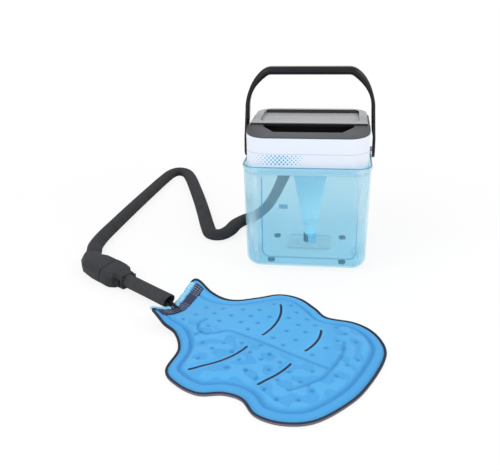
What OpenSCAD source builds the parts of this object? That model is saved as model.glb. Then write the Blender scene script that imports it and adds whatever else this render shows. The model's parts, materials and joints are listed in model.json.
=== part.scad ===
// Cold therapy machine: an ice and water tank with a pump head, a twin-line hose
// with a quick coupling, and a water-filled cooling pad that lies on the table.
// Millimetres. +X is the machine's right, +Y its back, +Z up, z = 0 the table.

/* [Tank] */
// Width over the tank's rim
tank_w = 228; // [220:1:236]
// Depth over the tank's rim
tank_d = 210; // [204:1:216]
// Height of the tank's rim above the table
rim_z = 201.5; // [198:0.5:204]
// Wall of the tank
tank_wall = 3; // [2:0.5:4]
// Corner radius of the tank's rim
tank_corner = 28; // [22:1:34]
// Radius where the walls run into the floor
floor_round = 22; // [16:1:26]

/* [Head] */
// Width of the collar that sits in the rim
collar_w = 217; // [213:0.5:218]
// Depth of the collar
collar_d = 192; // [188:1:194]
// Corner radius of the collar
collar_corner = 38; // [30:1:39]
// Height of the joint line between the two collar bands
seam_z = 223; // [222:0.5:226]
// Height of the cover's flat part, which the lid lies on
seat_z = 257.4; // [256:0.2:259]
// Height of the visor's front edge
visor_z = 252.4; // [250:0.2:253]
// Front edge of the lid, measured from the tank's middle
lid_front = -35; // [-40:1:-32]
// Height of the lid's top face above its seat
lid_rise = 6.2; // [5.4:0.2:7]

/* [Handle] */
// Height of the handle's pivot
pivot_z = 209.5; // [209:0.5:211]
// Height of the middle of the grip bar
bar_z = 351; // [340:1:356]
// Radius of the handle's shoulders
shoulder_r = 55; // [52:1:66]
// Radius of each pivot pin
pin_r = 4.5; // [3.5:0.1:5]

/* [Pump] */
// Radius of the riser's lower barrel, inside
barrel_r = 9; // [8:0.5:9.5]
// Radius of the impeller
impeller_r = 8.6; // [7.5:0.1:8.6]
// Number of blades on the impeller
blades = 3; // [2:1:4]
// Number of slots round the strainer
strainer_slots = 12; // [6:1:14]

/* [Hose and coupling] */
// Width of the twin-line hose over its foam sleeve
hose_w = 30; // [27:1:31]
// Height of the hose
hose_h = 21; // [19:1:22]
// Direction of the coupling and the pad's stub, in degrees from +X
coupling_turn = -36; // [-38:1:-34]
// Widest part of the coupling
coupling_w = 58; // [52:1:60]
// Height of the coupling
coupling_h = 31; // [29:1:32]

/* [Pad] */
// Height of the pad's crown above its edge
pad_crown = 9; // [6:0.5:12]
// Width of each slit through the bladder
slit_w = 3.6; // [3:0.2:4]
// Height of the wings of the pad's neck
wing_h = 24; // [18:1:28]

/* [Hidden] */
// The machine's middle, seen from the middle of the whole set
set_x = 121.02;
set_y = 202.24;
eps = 0.01;
fine = 64;

white_body = [0.93, 0.95, 0.97];
dark_body = [0.1, 0.1, 0.11];
gloss_black = [0.05, 0.05, 0.06];
pale_blue = [0.82, 0.9, 0.96];
steel = [0.72, 0.73, 0.75];
rubber = [0.22, 0.22, 0.24];
foam = [0.2, 0.2, 0.22];
charcoal = [0.17, 0.17, 0.18];

// Tank and collar
collar_hw = collar_w / 2;
collar_hd = collar_d / 2;
collar_wall = 3;
feet_h = 4.5;
step_z = 12.5;
feet_at = [[-67, -52], [67, -52], [-67, 68], [67, 68]];
ledge_z = 186;
gasket_h = 2;
foot_hw = 109.4;
foot_hd = 99.8;
bridge_z = 204;
bridge_t = 8;
post_at = [[-88.5, -76.5], [88.5, -76.5], [-88.5, 76.5], [88.5, 76.5]];
cover_t = 2;
visor_back = lid_front - 1;
visor_rise = 3.4;
scoop_back = -27.2;
scoop_floor = 247.5;

// Lid, its opening and its hinge
lid_hw = 104.5;
tray_deep = 5.4;
open_hw = 95;
open_front = -24;
open_back = 80;
hinge_y = collar_hd - 2.5;
hinge_z = seat_z - 0.9;
hinge_r = 3.5;
knuckle_hw = 30;
lug_w = 9;
hinge_pin_r = 1.5;

// Handle: the arms are an outer plate with an inner flange
arm_in = 113.2;
plate_in = tank_w / 2 + 1.2;
arm_out = plate_in + 3.7;
arm_lean = 3.2;
arm_t = (arm_out - arm_in) / 2;
arm_d = 12;
arm_end_r = 15.6;
bar_t = 6.6;
bar_d = 11;
crease = 72;
shoulder_z = bar_z - shoulder_r * sin(crease) - 2.2;
arm_x = (arm_in + arm_out) / 2 - (shoulder_z - pivot_z) * tan(arm_lean);
shoulder_x = arm_x - shoulder_r;
arm_l = shoulder_z - pivot_z;
bar_end = shoulder_x + shoulder_r * cos(crease) - 3;
pin_head_r = 6.5;

// Riser that stands in the tank, and its motor
riser_x = 2;
riser_y = 22;
riser_r = 34.5;
strainer_z = 13;
barrel_z = 30;
shaft_r = 1.5;
nozzle_z = 185;
nozzle_turn = 110;
wire_turn = 76;

// Rear fittings, and the tubes and wire that run to them inside the head
port_x = -45;
port_z = 240;
port_out = 3;
elbow_r = 20;
channel_x = 5.5;
hose_start_z = 206;
inlet_x = 45;
inlet_z = 240;
inlet_r = 6;
inlet_bore_r = 2.75;
outlet_route = [[-12.8, 62.6, 185], [-14.7, 67.8, 185.3], [-21, 76, 189], [-30, 79, 200],
    [-38, 78, 214], [-39.5, 79, 229], [-39.5, 84, 238.5], [-39.5, 89.5, 240]];
return_route = [[-50.5, 89.5, 240], [-50.5, 84, 238.5], [-50.5, 79, 229], [-51, 78, 214],
    [-52, 78, 198], [-53, 78, 172]];
wire_route = [[45, 84, 240], [44, 81, 239], [39, 79, 232], [28, 77, 221], [16, 73, 215],
    [11, 64, 215.5], [9.8, 53, 215.8], [9, 50.2, 215.8]];

// Hose: centreline points, from the rear elbow to the coupling
hose_route = [
    [-45, 119, hose_start_z - 0.4], [-45, 119, 190], [-47, 120, 165], [-52, 122, 138], [-62, 125, 108],
    [-76, 128, 76], [-94, 131, 46], [-118, 136, 22], [-144, 130, 12], [-160, 102, 11],
    [-168, 66, 11], [-182, 42, 11], [-203, 45, 11], [-219, 84, 11], [-246, 170, 11],
    [-272, 250, 11], [-303, 340, 11], [-329, 412, 11], [-352, 460, 11], [-376, 475, 11],
    [-392, 455, 11], [-400, 400, 11], [-408, 300, 11], [-416, 190, 11], [-422, 90, 11],
    [-426, 10, 11], [-423, -40, 12], [-414, -72, 14.5], [-406, -103, 15.5]];
hose_twist_end = 7;
hose_steps = 2;

// Coupling, in its own frame: x along the stub, its middle on the seam
coupling_at = [-352, -160, 15.5];
seam_lean = 17;
seam_gap = 0.4;
stub_from = 57;
stub_to = 170;
stub_r = 12;
nipple_y = 9;
nipple_r = 4;
tube_y = 4.2;
tube_r = 3.6;
pad_tube_route = [[24, 0, 0], [60, 0, 0], [110, 0, 0], [150, 0, 0], [170, 0, -0.9],
    [179, 0, -3.6], [190, 0, -7]];
button_x = 40;
button_l = 14;
button_hh = 5.5;

// Pad: control points of its outline, anticlockwise from the near end of the neck
pad_outline = [
    [-226, -312], [-207, -330], [-184, -342], [-168, -385], [-173, -438], [-150, -468],
    [-118, -485], [-85, -481], [-58, -491], [-36, -521], [0, -533], [40, -523],
    [82, -481], [106, -440], [127, -385], [131, -348], [116, -308], [88, -283],
    [45, -271], [25, -243], [-2, -212], [-36, -201], [-72, -216], [-110, -229],
    [-150, -223], [-183, -208], [-193, -234], [-204, -260], [-215, -286]];
pad_steps = 3;
pad_middle = [-60, -350];
pad_rings = [0, 0.03, 0.07, 0.13, 0.24, 0.42, 0.68];
under_rings = [0.68, 0.42, 0.24, 0.12, 0.05, 0];
pad_base = 1.4;
edge_t = 2;
piping_r = 1.7;
neck_at = [-206, -260];
neck_turn = -26;
neck_half = 54;
slits = [
    [[-30, -248], [-26, -277], [-31, -311], [-48, -344]],
    [[39, -323], [38, -336], [34, -348], [19, -381]],
    [[-67, -380], [-78, -402], [-100, -422], [-140, -441]],
    [[-1, -418], [-8, -434], [-20, -450], [-39, -466]]];
welds = [
    [[-146, -312], [-142, -342], [-112, -342], [-88, -344], [-40, -374], [48, -420]],
    [[73, -353], [70, -385], [55, -420], [32, -454], [4, -476]]];

// ---- Helpers ----------------------------------------------------------------

function mix(a, b, t) = a + (b - a) * t;
function unit(v) = v / norm(v);

// A point on the smooth curve through four control points, between the middle two
function curve(a, b, c, d, t) = 0.5 * (2 * b + (c - a) * t
    + (2 * a - 5 * b + 4 * c - d) * t * t + (3 * b - a - 3 * c + d) * t * t * t);

// A smooth line through open control points
function smooth(p, steps) = let(n = len(p)) concat(
    [for (i = [0 : n - 2], k = [0 : steps - 1])
        curve(p[max(i - 1, 0)], p[i], p[i + 1], p[min(i + 2, n - 1)], k / steps)],
    [p[n - 1]]);

// The same through a closed loop of control points
function smooth_loop(p, steps) = let(n = len(p))
    [for (i = [0 : n - 1], k = [0 : steps - 1])
        curve(p[(i + n - 1) % n], p[i], p[(i + 1) % n], p[(i + 2) % n], k / steps)];

// Unit tangents along a line
function tangents(p) = let(n = len(p))
    [for (i = [0 : n - 1]) unit(p[min(i + 1, n - 1)] - p[max(i - 1, 0)])];

// Triangles between rings of n points each, from ring first to ring last
function bands(n, first, last) = [for (j = [first : last - 1], i = [0 : n - 1], half = [0, 1])
    let(a = j * n + i, b = j * n + (i + 1) % n)
    half == 0 ? [a, b + n, b] : [a, a + n, b + n]];

// A closed skin over rings that all run anticlockwise seen from the last one
module skin(rings) {
    n = len(rings[0]);
    m = len(rings);
    ends = [[for (i = [0 : n - 1]) i], [for (i = [n - 1 : -1 : 0]) (m - 1) * n + i]];
    polyhedron([for (r = rings, p = r) p], concat(bands(n, 0, m - 1), ends), convexity = 10);
}

// The same, drawn in to a point below the first ring and above the last
module pillow(under, rings, over) {
    n = len(rings[0]);
    m = len(rings);
    low = [for (i = [0 : n - 1]) [m * n, i, (i + 1) % n]];
    high = [for (i = [0 : n - 1]) [m * n + 1, (m - 1) * n + (i + 1) % n, (m - 1) * n + i]];
    polyhedron(concat([for (r = rings, p = r) p], [under, over]),
        concat(bands(n, 0, m - 1), low, high), convexity = 10);
}

// Rings in a loop, closed on itself
module loop_skin(rings) {
    n = len(rings[0]);
    all = n * len(rings);
    polyhedron([for (r = rings, p = r) p],
        [for (f = bands(n, 0, len(rings))) [for (v = f) v % all]], convexity = 10);
}

// A ring of points round a rounded rectangle
function round_ring(hw, hd, r, z, n = 6) = [for (q = [0 : 3], k = [0 : n])
    let(a = 90 * (q + k / n), sx = [1, -1, -1, 1][q], sy = [1, 1, -1, -1][q])
    [sx * (hw - r) + r * cos(a), sy * (hd - r) + r * sin(a), z]];

// A rounded rectangle with true corner arcs
module round_rect(hw, hd, r) {
    square([2 * (hw - r), 2 * hd], center = true);
    square([2 * hw, 2 * (hd - r)], center = true);
    for (sx = [-1, 1], sy = [-1, 1])
        translate([sx * (hw - r), sy * (hd - r)]) circle(r, $fn = fine);
}

// An oval made of two half circles, a wide and b high, both half sizes
module oval_face(a, b) {
    square([2 * (a - b), 2 * b], center = true);
    for (s = [-1, 1]) translate([s * (a - b), 0]) circle(b, $fn = fine);
}

// Corners of a plan outline rounded off, with n points a corner
function round_corners(p, r, n = 5) = let(m = len(p)) [for (i = [0 : m - 1], k = [0 : n])
    let(a = p[i] + r * unit(p[(i + m - 1) % m] - p[i]),
        b = p[i] + r * unit(p[(i + 1) % m] - p[i]), t = k / n)
    mix(mix(a, p[i], t), mix(p[i], b, t), t)];

module round_block(hw, hd, r, z0, z1) {
    translate([0, 0, z0]) linear_extrude(z1 - z0) round_rect(hw, hd, r);
}

// A wall that follows a rounded rectangle
module round_wall(hw, hd, r, wall, z0, z1) {
    translate([0, 0, z0]) linear_extrude(z1 - z0) difference() {
        round_rect(hw, hd, r);
        round_rect(hw - wall, hd - wall, r - wall);
    }
}

// A tube along a line; each ring is an oval of half sizes a (sideways) and b
module sweep(p, sides, a, b, spin) {
    t = tangents(p);
    skin([for (i = [0 : len(p) - 1])
        let(s = spin[i], side = unit(s - (s * t[i]) * t[i]), up = cross(t[i], side))
        [for (k = [0 : sides - 1]) let(w = 360 * (k + 0.5) / sides)
            p[i] + a * cos(w) * side + b * sin(w) * up]]);
}

// A round tube along a line that stays off the direction given as across
module round_sweep(p, r, sides, across) {
    sweep(p, sides, r, r, [for (q = p) across]);
}

// A strip of even width along a plan line, for cuts through the pad
module strip(p, w, z0, z1) {
    t = tangents(p);
    left = [for (i = [0 : len(p) - 1]) p[i] + w / 2 * [-t[i].y, t[i].x]];
    right = [for (i = [len(p) - 1 : -1 : 0]) p[i] - w / 2 * [-t[i].y, t[i].x]];
    translate([0, 0, z0]) linear_extrude(z1 - z0) polygon(concat(left, right));
}

// ---- Tank -------------------------------------------------------------------

// How far the wall leans in from the rim's line at a height
function tank_flare(z) = mix(-5, -1.6, min(z / 190, 1))
    + (z > 190 ? min((z - 190) / 5, 1) * 1.6 : 0);

function tank_ring(z, inset) = let(f = tank_flare(z))
    round_ring(tank_w / 2 + f - inset, tank_d / 2 + f * 1.4 - inset,
        tank_corner + f - inset, z);

// Rings of the floor's rounded edge, on the outside or inset to the inside
function floor_rings(inset) = [for (a = [0 : 18 : 90]) let(
    r = floor_round - inset,
    in = r * (1 - sin(a)) + inset,
    z = feet_h + inset + r * (1 - cos(a)),
    f = tank_flare(z))
    round_ring(tank_w / 2 + f - in, tank_d / 2 + f * 1.4 - in,
        max(tank_corner + f - in * 0.7, 6), z)];

// Rings of the inner wall, the ledge that the gasket lies on and the mouth above it
function tank_mouth() = [tank_ring(110, tank_wall), tank_ring(ledge_z - 8, tank_wall),
    tank_ring(ledge_z - 3, tank_wall + 3.2), tank_ring(ledge_z, tank_wall + 3.2),
    tank_ring(ledge_z + eps, 2.2), tank_ring(190, 2.2), tank_ring(195, 3.6),
    tank_ring(rim_z + 1, 3.6)];

module tank() color([0.55, 0.8, 0.92, 0.5]) {
    difference() {
        skin(concat(floor_rings(0), [tank_ring(110, 0), tank_ring(190, 0),
            tank_ring(195, 0), tank_ring(rim_z, 0)]));
        skin(concat(floor_rings(tank_wall), tank_mouth()));
    }
    // raised step under the strainer
    translate([1, 24, 0]) skin([
        round_ring(43, 34, 9, feet_h + 1, 3), round_ring(43, 34, 9, feet_h + 5.5, 3),
        round_ring(40.5, 31.5, 7, step_z, 3)]);
}

module rubber_feet() color([0.12, 0.12, 0.13]) {
    for (p = feet_at) translate([p.x, p.y, 0]) {
        cylinder(1.2, r1 = 6, r2 = 7, $fn = 32);
        translate([0, 0, 1.2]) cylinder(feet_h - 1.2, r = 7, $fn = 32);
    }
}

module tank_gasket() color([0.2, 0.2, 0.22]) {
    translate([0, 0, ledge_z + eps]) linear_extrude(gasket_h - eps) difference() {
        round_rect(foot_hw, foot_hd, 25);
        round_rect(foot_hw - 3, foot_hd - 3, 22);
    }
}

// ---- Collar and cover -------------------------------------------------------

module at_bridge_screws() {
    for (x = [-8, 8], y = [-1, 1]) translate([riser_x + x, y * 89.3, 0]) children();
}

module lower_collar() color(white_body) {
    foot_z = ledge_z + gasket_h;
    difference() {
        union() {
            round_wall(collar_hw, collar_hd, collar_corner, collar_wall, foot_z, seam_z);
            translate([0, 0, foot_z]) linear_extrude(3) difference() {
                round_rect(foot_hw, foot_hd, 25);
                round_rect(collar_hw - collar_wall, collar_hd - collar_wall,
                    collar_corner - collar_wall);
            }
            translate([0, 0, bridge_z - 4.5]) linear_extrude(4.5) difference() {
                round_rect(collar_hw - 2, collar_hd - 2, collar_corner - 2);
                round_rect(collar_hw - 9, collar_hd - 10, collar_corner - 8);
            }
            for (p = post_at) translate([p.x, p.y, bridge_z - 4.5])
                cylinder(seam_z - bridge_z + 4.5, r = 6, $fn = fine);
            at_bridge_screws() translate([0, 0, bridge_z - 12])
                cylinder(12, r = 3.2, $fn = 32);
            for (s = [-1, 1]) translate([s * (collar_hw - 9), 0, pivot_z])
                rotate([0, s * 90, 0]) cylinder(8, r = 9, $fn = fine);
        }
        for (p = post_at) translate([p.x, p.y, bridge_z - 5]) {
            cylinder(40, r = 2.1, $fn = 32);
            cylinder(3.5, r = 4, $fn = 32);
        }
        at_bridge_screws() translate([0, 0, bridge_z - 11]) cylinder(20, r = 1.52, $fn = 32);
        for (s = [-1, 1]) translate([s * (collar_hw - 12), 0, pivot_z])
            rotate([0, s * 90, 0]) cylinder(20, r = pin_r + 0.02, $fn = fine);
    }
}

// Height of the visor's sloping top at a depth y
function visor_top(y) = mix(visor_z, seat_z + visor_rise,
    (y + collar_hd) / (collar_hd + visor_back));

// Line of the cover's underside from front to back, as depth and height
cover_under = [[-130, visor_top(-130) - cover_t], [-collar_hd, visor_z - cover_t],
    [visor_back - 2, seat_z - cover_t], [130, seat_z - cover_t]];

// A profile in depth and height, drawn out from x0 to x1
module across(x0, x1) {
    translate([x0, 0, 0]) rotate([90, 0, 90]) linear_extrude(x1 - x0) children();
}

// Room for the hinge at the head's back edge
module hinge_notch(hw) {
    translate([-hw, hinge_y - 4, hinge_z - 3.9]) cube([2 * hw, 20, 20]);
}

module upper_collar() color(white_body) {
    difference() {
        union() {
            round_wall(collar_hw, collar_hd, collar_corner, collar_wall, seam_z, 265);
            // lip that drops inside the lower band
            round_wall(collar_hw - 3.2, collar_hd - 3.2, collar_corner - 3.2, 1.6, seam_z - 4,
                seam_z + 1);
            translate([0, 0, seam_z]) linear_extrude(3) difference() {
                round_rect(collar_hw - 2, collar_hd - 2, collar_corner - 2);
                round_rect(collar_hw - 9, collar_hd - 10, collar_corner - 8);
            }
            for (p = post_at) translate([p.x, p.y, seam_z]) cylinder(22.6, r = 6, $fn = fine);
        }
        across(-150, 150) polygon(concat(cover_under, [[130, 300], [-130, 300]]));
        for (p = post_at) translate([p.x, p.y, seam_z - 1]) cylinder(19, r = 1.87, $fn = 32);
        hinge_notch(knuckle_hw + lug_w + 0.4);
        translate([port_x, collar_hd + 1, port_z]) rotate([90, 0, 0])
            linear_extrude(8) oval_face(15.5, 11);
        translate([inlet_x, collar_hd + 1, inlet_z]) rotate([90, 0, 0])
            cylinder(8, r = inlet_r + 0.05, $fn = fine);
    }
}

// The finger scoop under the lid's front edge, up to the height top; grow widens it
// to the basin's outside
module scoop(grow, top) {
    back = scoop_back + grow;
    intersection() {
        translate([0, 0, 230]) linear_extrude(60) polygon(round_corners([
            [-54.7 - grow, -77], [54.7 + grow, -77], [81 + grow, -44], [81 + grow, back],
            [-81 - grow, back], [-81 - grow, -44]], 7));
        across(-100, 100) polygon(concat(
            [[-43, scoop_floor - grow], [back + 1, scoop_floor - grow], [back + 1, top]],
            top > seat_z ? [[-73, top]] : [], [[-73, visor_top(-73) + 1.1 - grow]]));
    }
}

// The fill opening's outline seen from above
module opening_shape(grow) {
    translate([0, (open_front + open_back) / 2]) round_rect(open_hw + grow,
        (open_back - open_front) / 2 + grow, 14 + grow);
}

// Where the cover's two hinge lugs stand
module at_lugs() {
    for (s = [-1, 1]) translate([s * (knuckle_hw + 0.3 + lug_w / 2), hinge_y, hinge_z])
        children();
}

module top_cover() color(dark_body) {
    difference() {
        union() {
            intersection() {
                round_block(collar_hw, collar_hd, collar_corner, 240, 265);
                across(-150, 150) polygon(concat(cover_under, [[130, seat_z],
                    [visor_back + 0.5, seat_z], [visor_back, seat_z + visor_rise],
                    [-130, visor_top(-130)]]));
            }
            scoop(cover_t, seat_z - 1);
            translate([0, 0, 246]) linear_extrude(seat_z - 247) opening_shape(2);
            at_lugs() {
                rotate([0, 90, 0]) cylinder(lug_w, r = hinge_r, center = true, $fn = fine);
                translate([-lug_w / 2, -hinge_r, -hinge_r]) cube([lug_w, hinge_r, hinge_r + 0.8]);
            }
        }
        scoop(0, 280);
        translate([0, 0, 240]) linear_extrude(30) opening_shape(0);
        hinge_notch(knuckle_hw + 0.1);
        translate([0, hinge_y, hinge_z]) rotate([0, 90, 0])
            cylinder(100, r = hinge_pin_r + 0.02, center = true, $fn = 32);
    }
}

module collar_screws() color(steel) {
    for (p = post_at) translate([p.x, p.y, bridge_z - 4.5]) {
        cylinder(3, r = 3.6, $fn = 32);
        cylinder(36, r = 1.85, $fn = 32);
    }
}

// ---- Lid --------------------------------------------------------------------

// The lid seen from above
module lid_shape(inset) {
    intersection() {
        round_rect(lid_hw - inset, collar_hd - inset, collar_corner - 4 - inset);
        translate([-150, lid_front + inset]) square([300, 200]);
    }
}

// Profile of the slope under the lid's back edge, which clears the cover as it swings
module back_slope() polygon([[hinge_y - 2.5, seat_z], [120, seat_z], [120, seat_z + 22],
    [collar_hd + 0.2, seat_z + 4.3]]);

// The shallow tray in the lid's top, its back wall sloped
module lid_tray() {
    top_z = seat_z + lid_rise;
    intersection() {
        across(-90, 90) polygon([
            [-20.6, top_z + 1], [-17, top_z - tray_deep], [77, top_z - tray_deep],
            [86.6, top_z + 1]]);
        translate([0, 33, 200]) linear_extrude(100) round_rect(90, 54, 16);
    }
}

module lid() color(gloss_black) {
    lid_z = seat_z + 0.3;
    top_z = seat_z + lid_rise;
    difference() {
        union() {
            translate([0, 0, lid_z]) linear_extrude(lid_rise - 1.3) lid_shape(0);
            translate([0, 0, top_z - 1.1]) linear_extrude(1.1) lid_shape(0.8);
            translate([0, 0, seat_z - 2.2]) linear_extrude(4) opening_shape(-2.2);
            translate([0, hinge_y, hinge_z]) rotate([0, 90, 0])
                cylinder(2 * knuckle_hw - 0.6, r = 3.2, center = true, $fn = fine);
        }
        lid_tray();
        across(knuckle_hw - 0.3, 120) back_slope();
        across(-120, 0.3 - knuckle_hw) back_slope();
        at_lugs() rotate([0, 90, 0])
            cylinder(lug_w + 1.2, r = hinge_r + 0.4, center = true, $fn = fine);
        translate([0, hinge_y, hinge_z]) rotate([0, 90, 0])
            cylinder(100, r = hinge_pin_r + 0.05, center = true, $fn = 32);
    }
}

module lid_seal() color(rubber) {
    translate([0, 0, seat_z - 1.9]) linear_extrude(1.5) difference() {
        opening_shape(-0.4);
        opening_shape(-2.2);
    }
}

module lid_hinge_pin() color(steel) {
    translate([0, hinge_y, hinge_z]) rotate([0, 90, 0])
        cylinder(2 * (knuckle_hw + lug_w), r = hinge_pin_r, center = true, $fn = 32);
}

// ---- Handle -----------------------------------------------------------------

// A chamfered ring of the bail at (x, z); w is the direction that faces outwards,
// t and d are half its thickness and half its depth
function bail_ring(x, z, w, t, d) = let(c = t * 0.45)
    [for (q = [[t - c, d], [t, d - c], [t, c - d], [t - c, -d],
        [c - t, -d], [-t, c - d], [-t, d - c], [c - t, d]])
        [x + q[0] * cos(w), q[1], z + q[0] * sin(w)]];

// The right half of the bail, from the bar's shoulder down to the arm:
// place, direction, half thickness and half depth of each ring
function bail_side() = concat(
    [[bar_end, bar_z, 81, bar_t, bar_d]],
    [for (k = [1 : 6]) let(a = crease * (1 - k / 6))
        [shoulder_x + shoulder_r * cos(a), shoulder_z + shoulder_r * sin(a), a,
            mix(arm_t, bar_t, a / crease), mix(arm_d, bar_d, a / crease)]],
    [[arm_x + 5 * tan(arm_lean), shoulder_z - 5, -arm_lean, arm_t, arm_d + 0.4]]);

module handle() color(gloss_black) {
    side = bail_side();
    n = len(side);
    skin(concat(
        [for (i = [n - 1 : -1 : 0]) let(r = side[i])
            bail_ring(-r[0], r[1], 180 - r[2], r[3], r[4])],
        [for (r = side) bail_ring(r[0], r[1], r[2], r[3], r[4])]));
    for (s = [0, 1]) mirror([s, 0, 0]) difference() {
        union() {
            // the plate round the pivot, then the leaning arm with its inner flange,
            // which stops short of the pivot
            translate([0, 0, pivot_z]) {
                across(plate_in, arm_out) circle(arm_end_r, $fn = fine);
                across(plate_in, arm_out) polygon([[-arm_d - 2.6, 0], [arm_d + 2.6, 0],
                    [arm_d + 2.2, 19], [-arm_d - 2.2, 19]]);
            }
            translate([0, 0, pivot_z]) rotate([0, -arm_lean, 0]) {
                across(plate_in + 0.9, arm_out + 0.9) polygon([[-arm_d - 2.2, 18],
                    [arm_d + 2.2, 18], [arm_d, arm_l], [-arm_d, arm_l]]);
                across(arm_in, arm_out) polygon([[-6.5, 17], [6.5, 17], [arm_d, arm_l],
                    [-arm_d, arm_l]]);
            }
            translate([collar_hw + 0.4, 0, pivot_z]) rotate([0, 90, 0])
                cylinder(plate_in - collar_hw, r = 7.5, $fn = fine);
        }
        translate([collar_hw, 0, pivot_z]) rotate([0, 90, 0])
            cylinder(20, r = pin_r + 0.05, $fn = fine);
        translate([arm_out - 1.6, 0, pivot_z]) rotate([0, 90, 0])
            cylinder(5, r = pin_head_r + 0.4, $fn = fine);
    }
}

module handle_pivots() color([0.16, 0.16, 0.17]) {
    for (s = [0, 1]) mirror([s, 0, 0]) translate([collar_hw - 9, 0, pivot_z])
        rotate([0, 90, 0]) {
            cylinder(arm_out - collar_hw + 9 - 0.4, r = pin_r, $fn = fine);
            translate([0, 0, arm_out - collar_hw + 9 - 1.3])
                cylinder(1.3, r = pin_head_r, $fn = fine);
        }
}

// ---- Pump -------------------------------------------------------------------

module at_riser(z) {
    translate([riser_x, riser_y, z]) children();
}

module pump_bridge() color(pale_blue) {
    difference() {
        union() {
            at_riser(bridge_z) cylinder(bridge_t, r = riser_r, $fn = fine);
            translate([riser_x - 14, 3 - collar_hd, bridge_z])
                cube([28, 2 * (collar_hd - 3), 3]);
            for (x = [-14, 11]) translate([riser_x + x, 3 - collar_hd, bridge_z])
                cube([3, 2 * (collar_hd - 3), bridge_t]);
        }
        at_riser(bridge_z - 1) cylinder(20, r = 5, $fn = 32);
        at_bridge_screws() translate([0, 0, bridge_z - 1]) cylinder(20, r = 1.7, $fn = 32);
    }
}

module bridge_screws() color(steel) {
    at_bridge_screws() translate([0, 0, bridge_z - 9]) {
        cylinder(14, r = 1.5, $fn = 32);
        translate([0, 0, 12]) cylinder(2.2, r = 2.8, $fn = 32);
    }
}

// The hollow riser: barrel round the impeller, then a cone up to the bridge
module riser() color(pale_blue) {
    w = 2.4;
    difference() {
        union() {
            at_riser(0) rotate_extrude($fn = fine) polygon([
                [barrel_r + 2.5, barrel_z], [barrel_r + 2.5, 51], [18, 66], [24, 107],
                [33, 152], [riser_r, 165], [riser_r, bridge_z - 2], [riser_r - 1, bridge_z],
                [riser_r - w, bridge_z], [riser_r - w, 165], [33 - w, 152], [24 - w, 107],
                [18 - w, 70], [barrel_r, 59], [barrel_r, barrel_z]]);
            at_riser(nozzle_z) rotate([0, 90, nozzle_turn]) translate([0, 0, riser_r - 1.5])
                cylinder(10, r = 4.6 + 1.4, $fn = fine);
        }
        at_riser(nozzle_z) rotate([0, 90, nozzle_turn]) translate([0, 0, 28])
            cylinder(30, r = 3.4, $fn = fine);
    }
}

module strainer() color(dark_body) {
    at_riser(strainer_z) difference() {
        cylinder(20, r = 13.2, $fn = fine);
        translate([0, 0, 2]) cylinder(30, r = 10.4, $fn = fine);
        translate([0, 0, barrel_z - strainer_z]) cylinder(30, r = barrel_r + 2.55, $fn = fine);
        for (k = [0 : strainer_slots - 1]) rotate(360 * k / strainer_slots)
            translate([8, -1.3, 3]) cube([8, 2.6, 11]);
    }
}

module shaft_bearing() color([0.85, 0.86, 0.84]) {
    at_riser(53) difference() {
        union() {
            cylinder(5, r = 3.6, $fn = fine);
            for (k = [0 : 2]) rotate(120 * k) translate([2.5, -1, 0])
                cube([barrel_r - 2.5, 2, 5]);
        }
        translate([0, 0, -1]) cylinder(10, r = shaft_r + 0.05, $fn = fine);
    }
}

module drive_shaft() color(steel) {
    at_riser(37) cylinder(195, r = shaft_r, $fn = fine);
}

// Screw impeller: a hub with twisted blades
module impeller() color([0.8, 0.82, 0.85]) {
    at_riser(39) difference() {
        union() {
            cylinder(11, r = 3.4, $fn = fine);
            linear_extrude(11, twist = -120, slices = 8) for (k = [0 : blades - 1])
                rotate(360 * k / blades) translate([2.6, -0.6]) square([impeller_r - 2.6, 1.2]);
        }
        translate([0, 0, -1]) cylinder(20, r = shaft_r, $fn = fine);
    }
}

module motor() color([0.62, 0.63, 0.65]) {
    at_riser(bridge_z + bridge_t) difference() {
        union() {
            cylinder(34, r = 18, $fn = fine);
            translate([0, 0, -3]) cylinder(3, r = 4.8, $fn = fine);
        }
        translate([0, 0, -4]) cylinder(25, r = shaft_r + 0.05, $fn = fine);
    }
}

module motor_cap() color(pale_blue) {
    at_riser(bridge_z + bridge_t) difference() {
        rotate_extrude($fn = fine) polygon([[26.8, 0], [31, 0], [31, 2], [29, 3], [29, 36],
            [26, 39], [0, 39], [0, 37], [25, 37], [26.8, 35]]);
        rotate([0, 90, wire_turn]) translate([-3.8, 0, 24]) cylinder(10, r = 1.8, $fn = 32);
    }
}

module control_board() color([0.1, 0.4, 0.2]) {
    at_riser(bridge_z + bridge_t + 34) {
        cylinder(1.6, r = 22, $fn = fine);
        translate([-9, 8, 1.4]) cube([7, 7, 1.2]);
        translate([3, -14, 1.4]) cube([10, 5, 1.2]);
    }
}

module power_wire() color([0.15, 0.15, 0.16]) {
    round_sweep(smooth(wire_route, 3), 1.6, 8, [0.3, 0.1, 1]);
}

module power_inlet() color(dark_body) {
    translate([inlet_x, collar_hd + 2, inlet_z]) rotate([90, 0, 0]) difference() {
        union() {
            cylinder(2, r = 8.5, $fn = fine);
            cylinder(14, r = inlet_r, $fn = fine);
        }
        translate([0, 0, -1]) cylinder(12, r = inlet_bore_r, $fn = fine);
    }
}

// ---- Water tubes and hose ---------------------------------------------------

module hollow_tube(route, r, wall) {
    p = smooth(route, 3);
    n = len(p);
    // the bore's line runs past both ends
    inner = concat([p[0] + unit(p[0] - p[1])], p, [p[n - 1] + unit(p[n - 1] - p[n - 2])]);
    difference() {
        round_sweep(p, r, 10, [1, 0.2, 0.1]);
        round_sweep(inner, r - wall, 10, [1, 0.2, 0.1]);
    }
}

module outlet_tube() color(rubber) hollow_tube(outlet_route, 4.6, 1.2);

module return_tube() color(rubber) hollow_tube(return_route, 4.6, 1.2);

// Twin water ways through the elbow
module elbow_ways(r) {
    for (s = [-1, 1]) translate([s * channel_x, 0, 0]) circle(r, $fn = 32);
}

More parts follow.
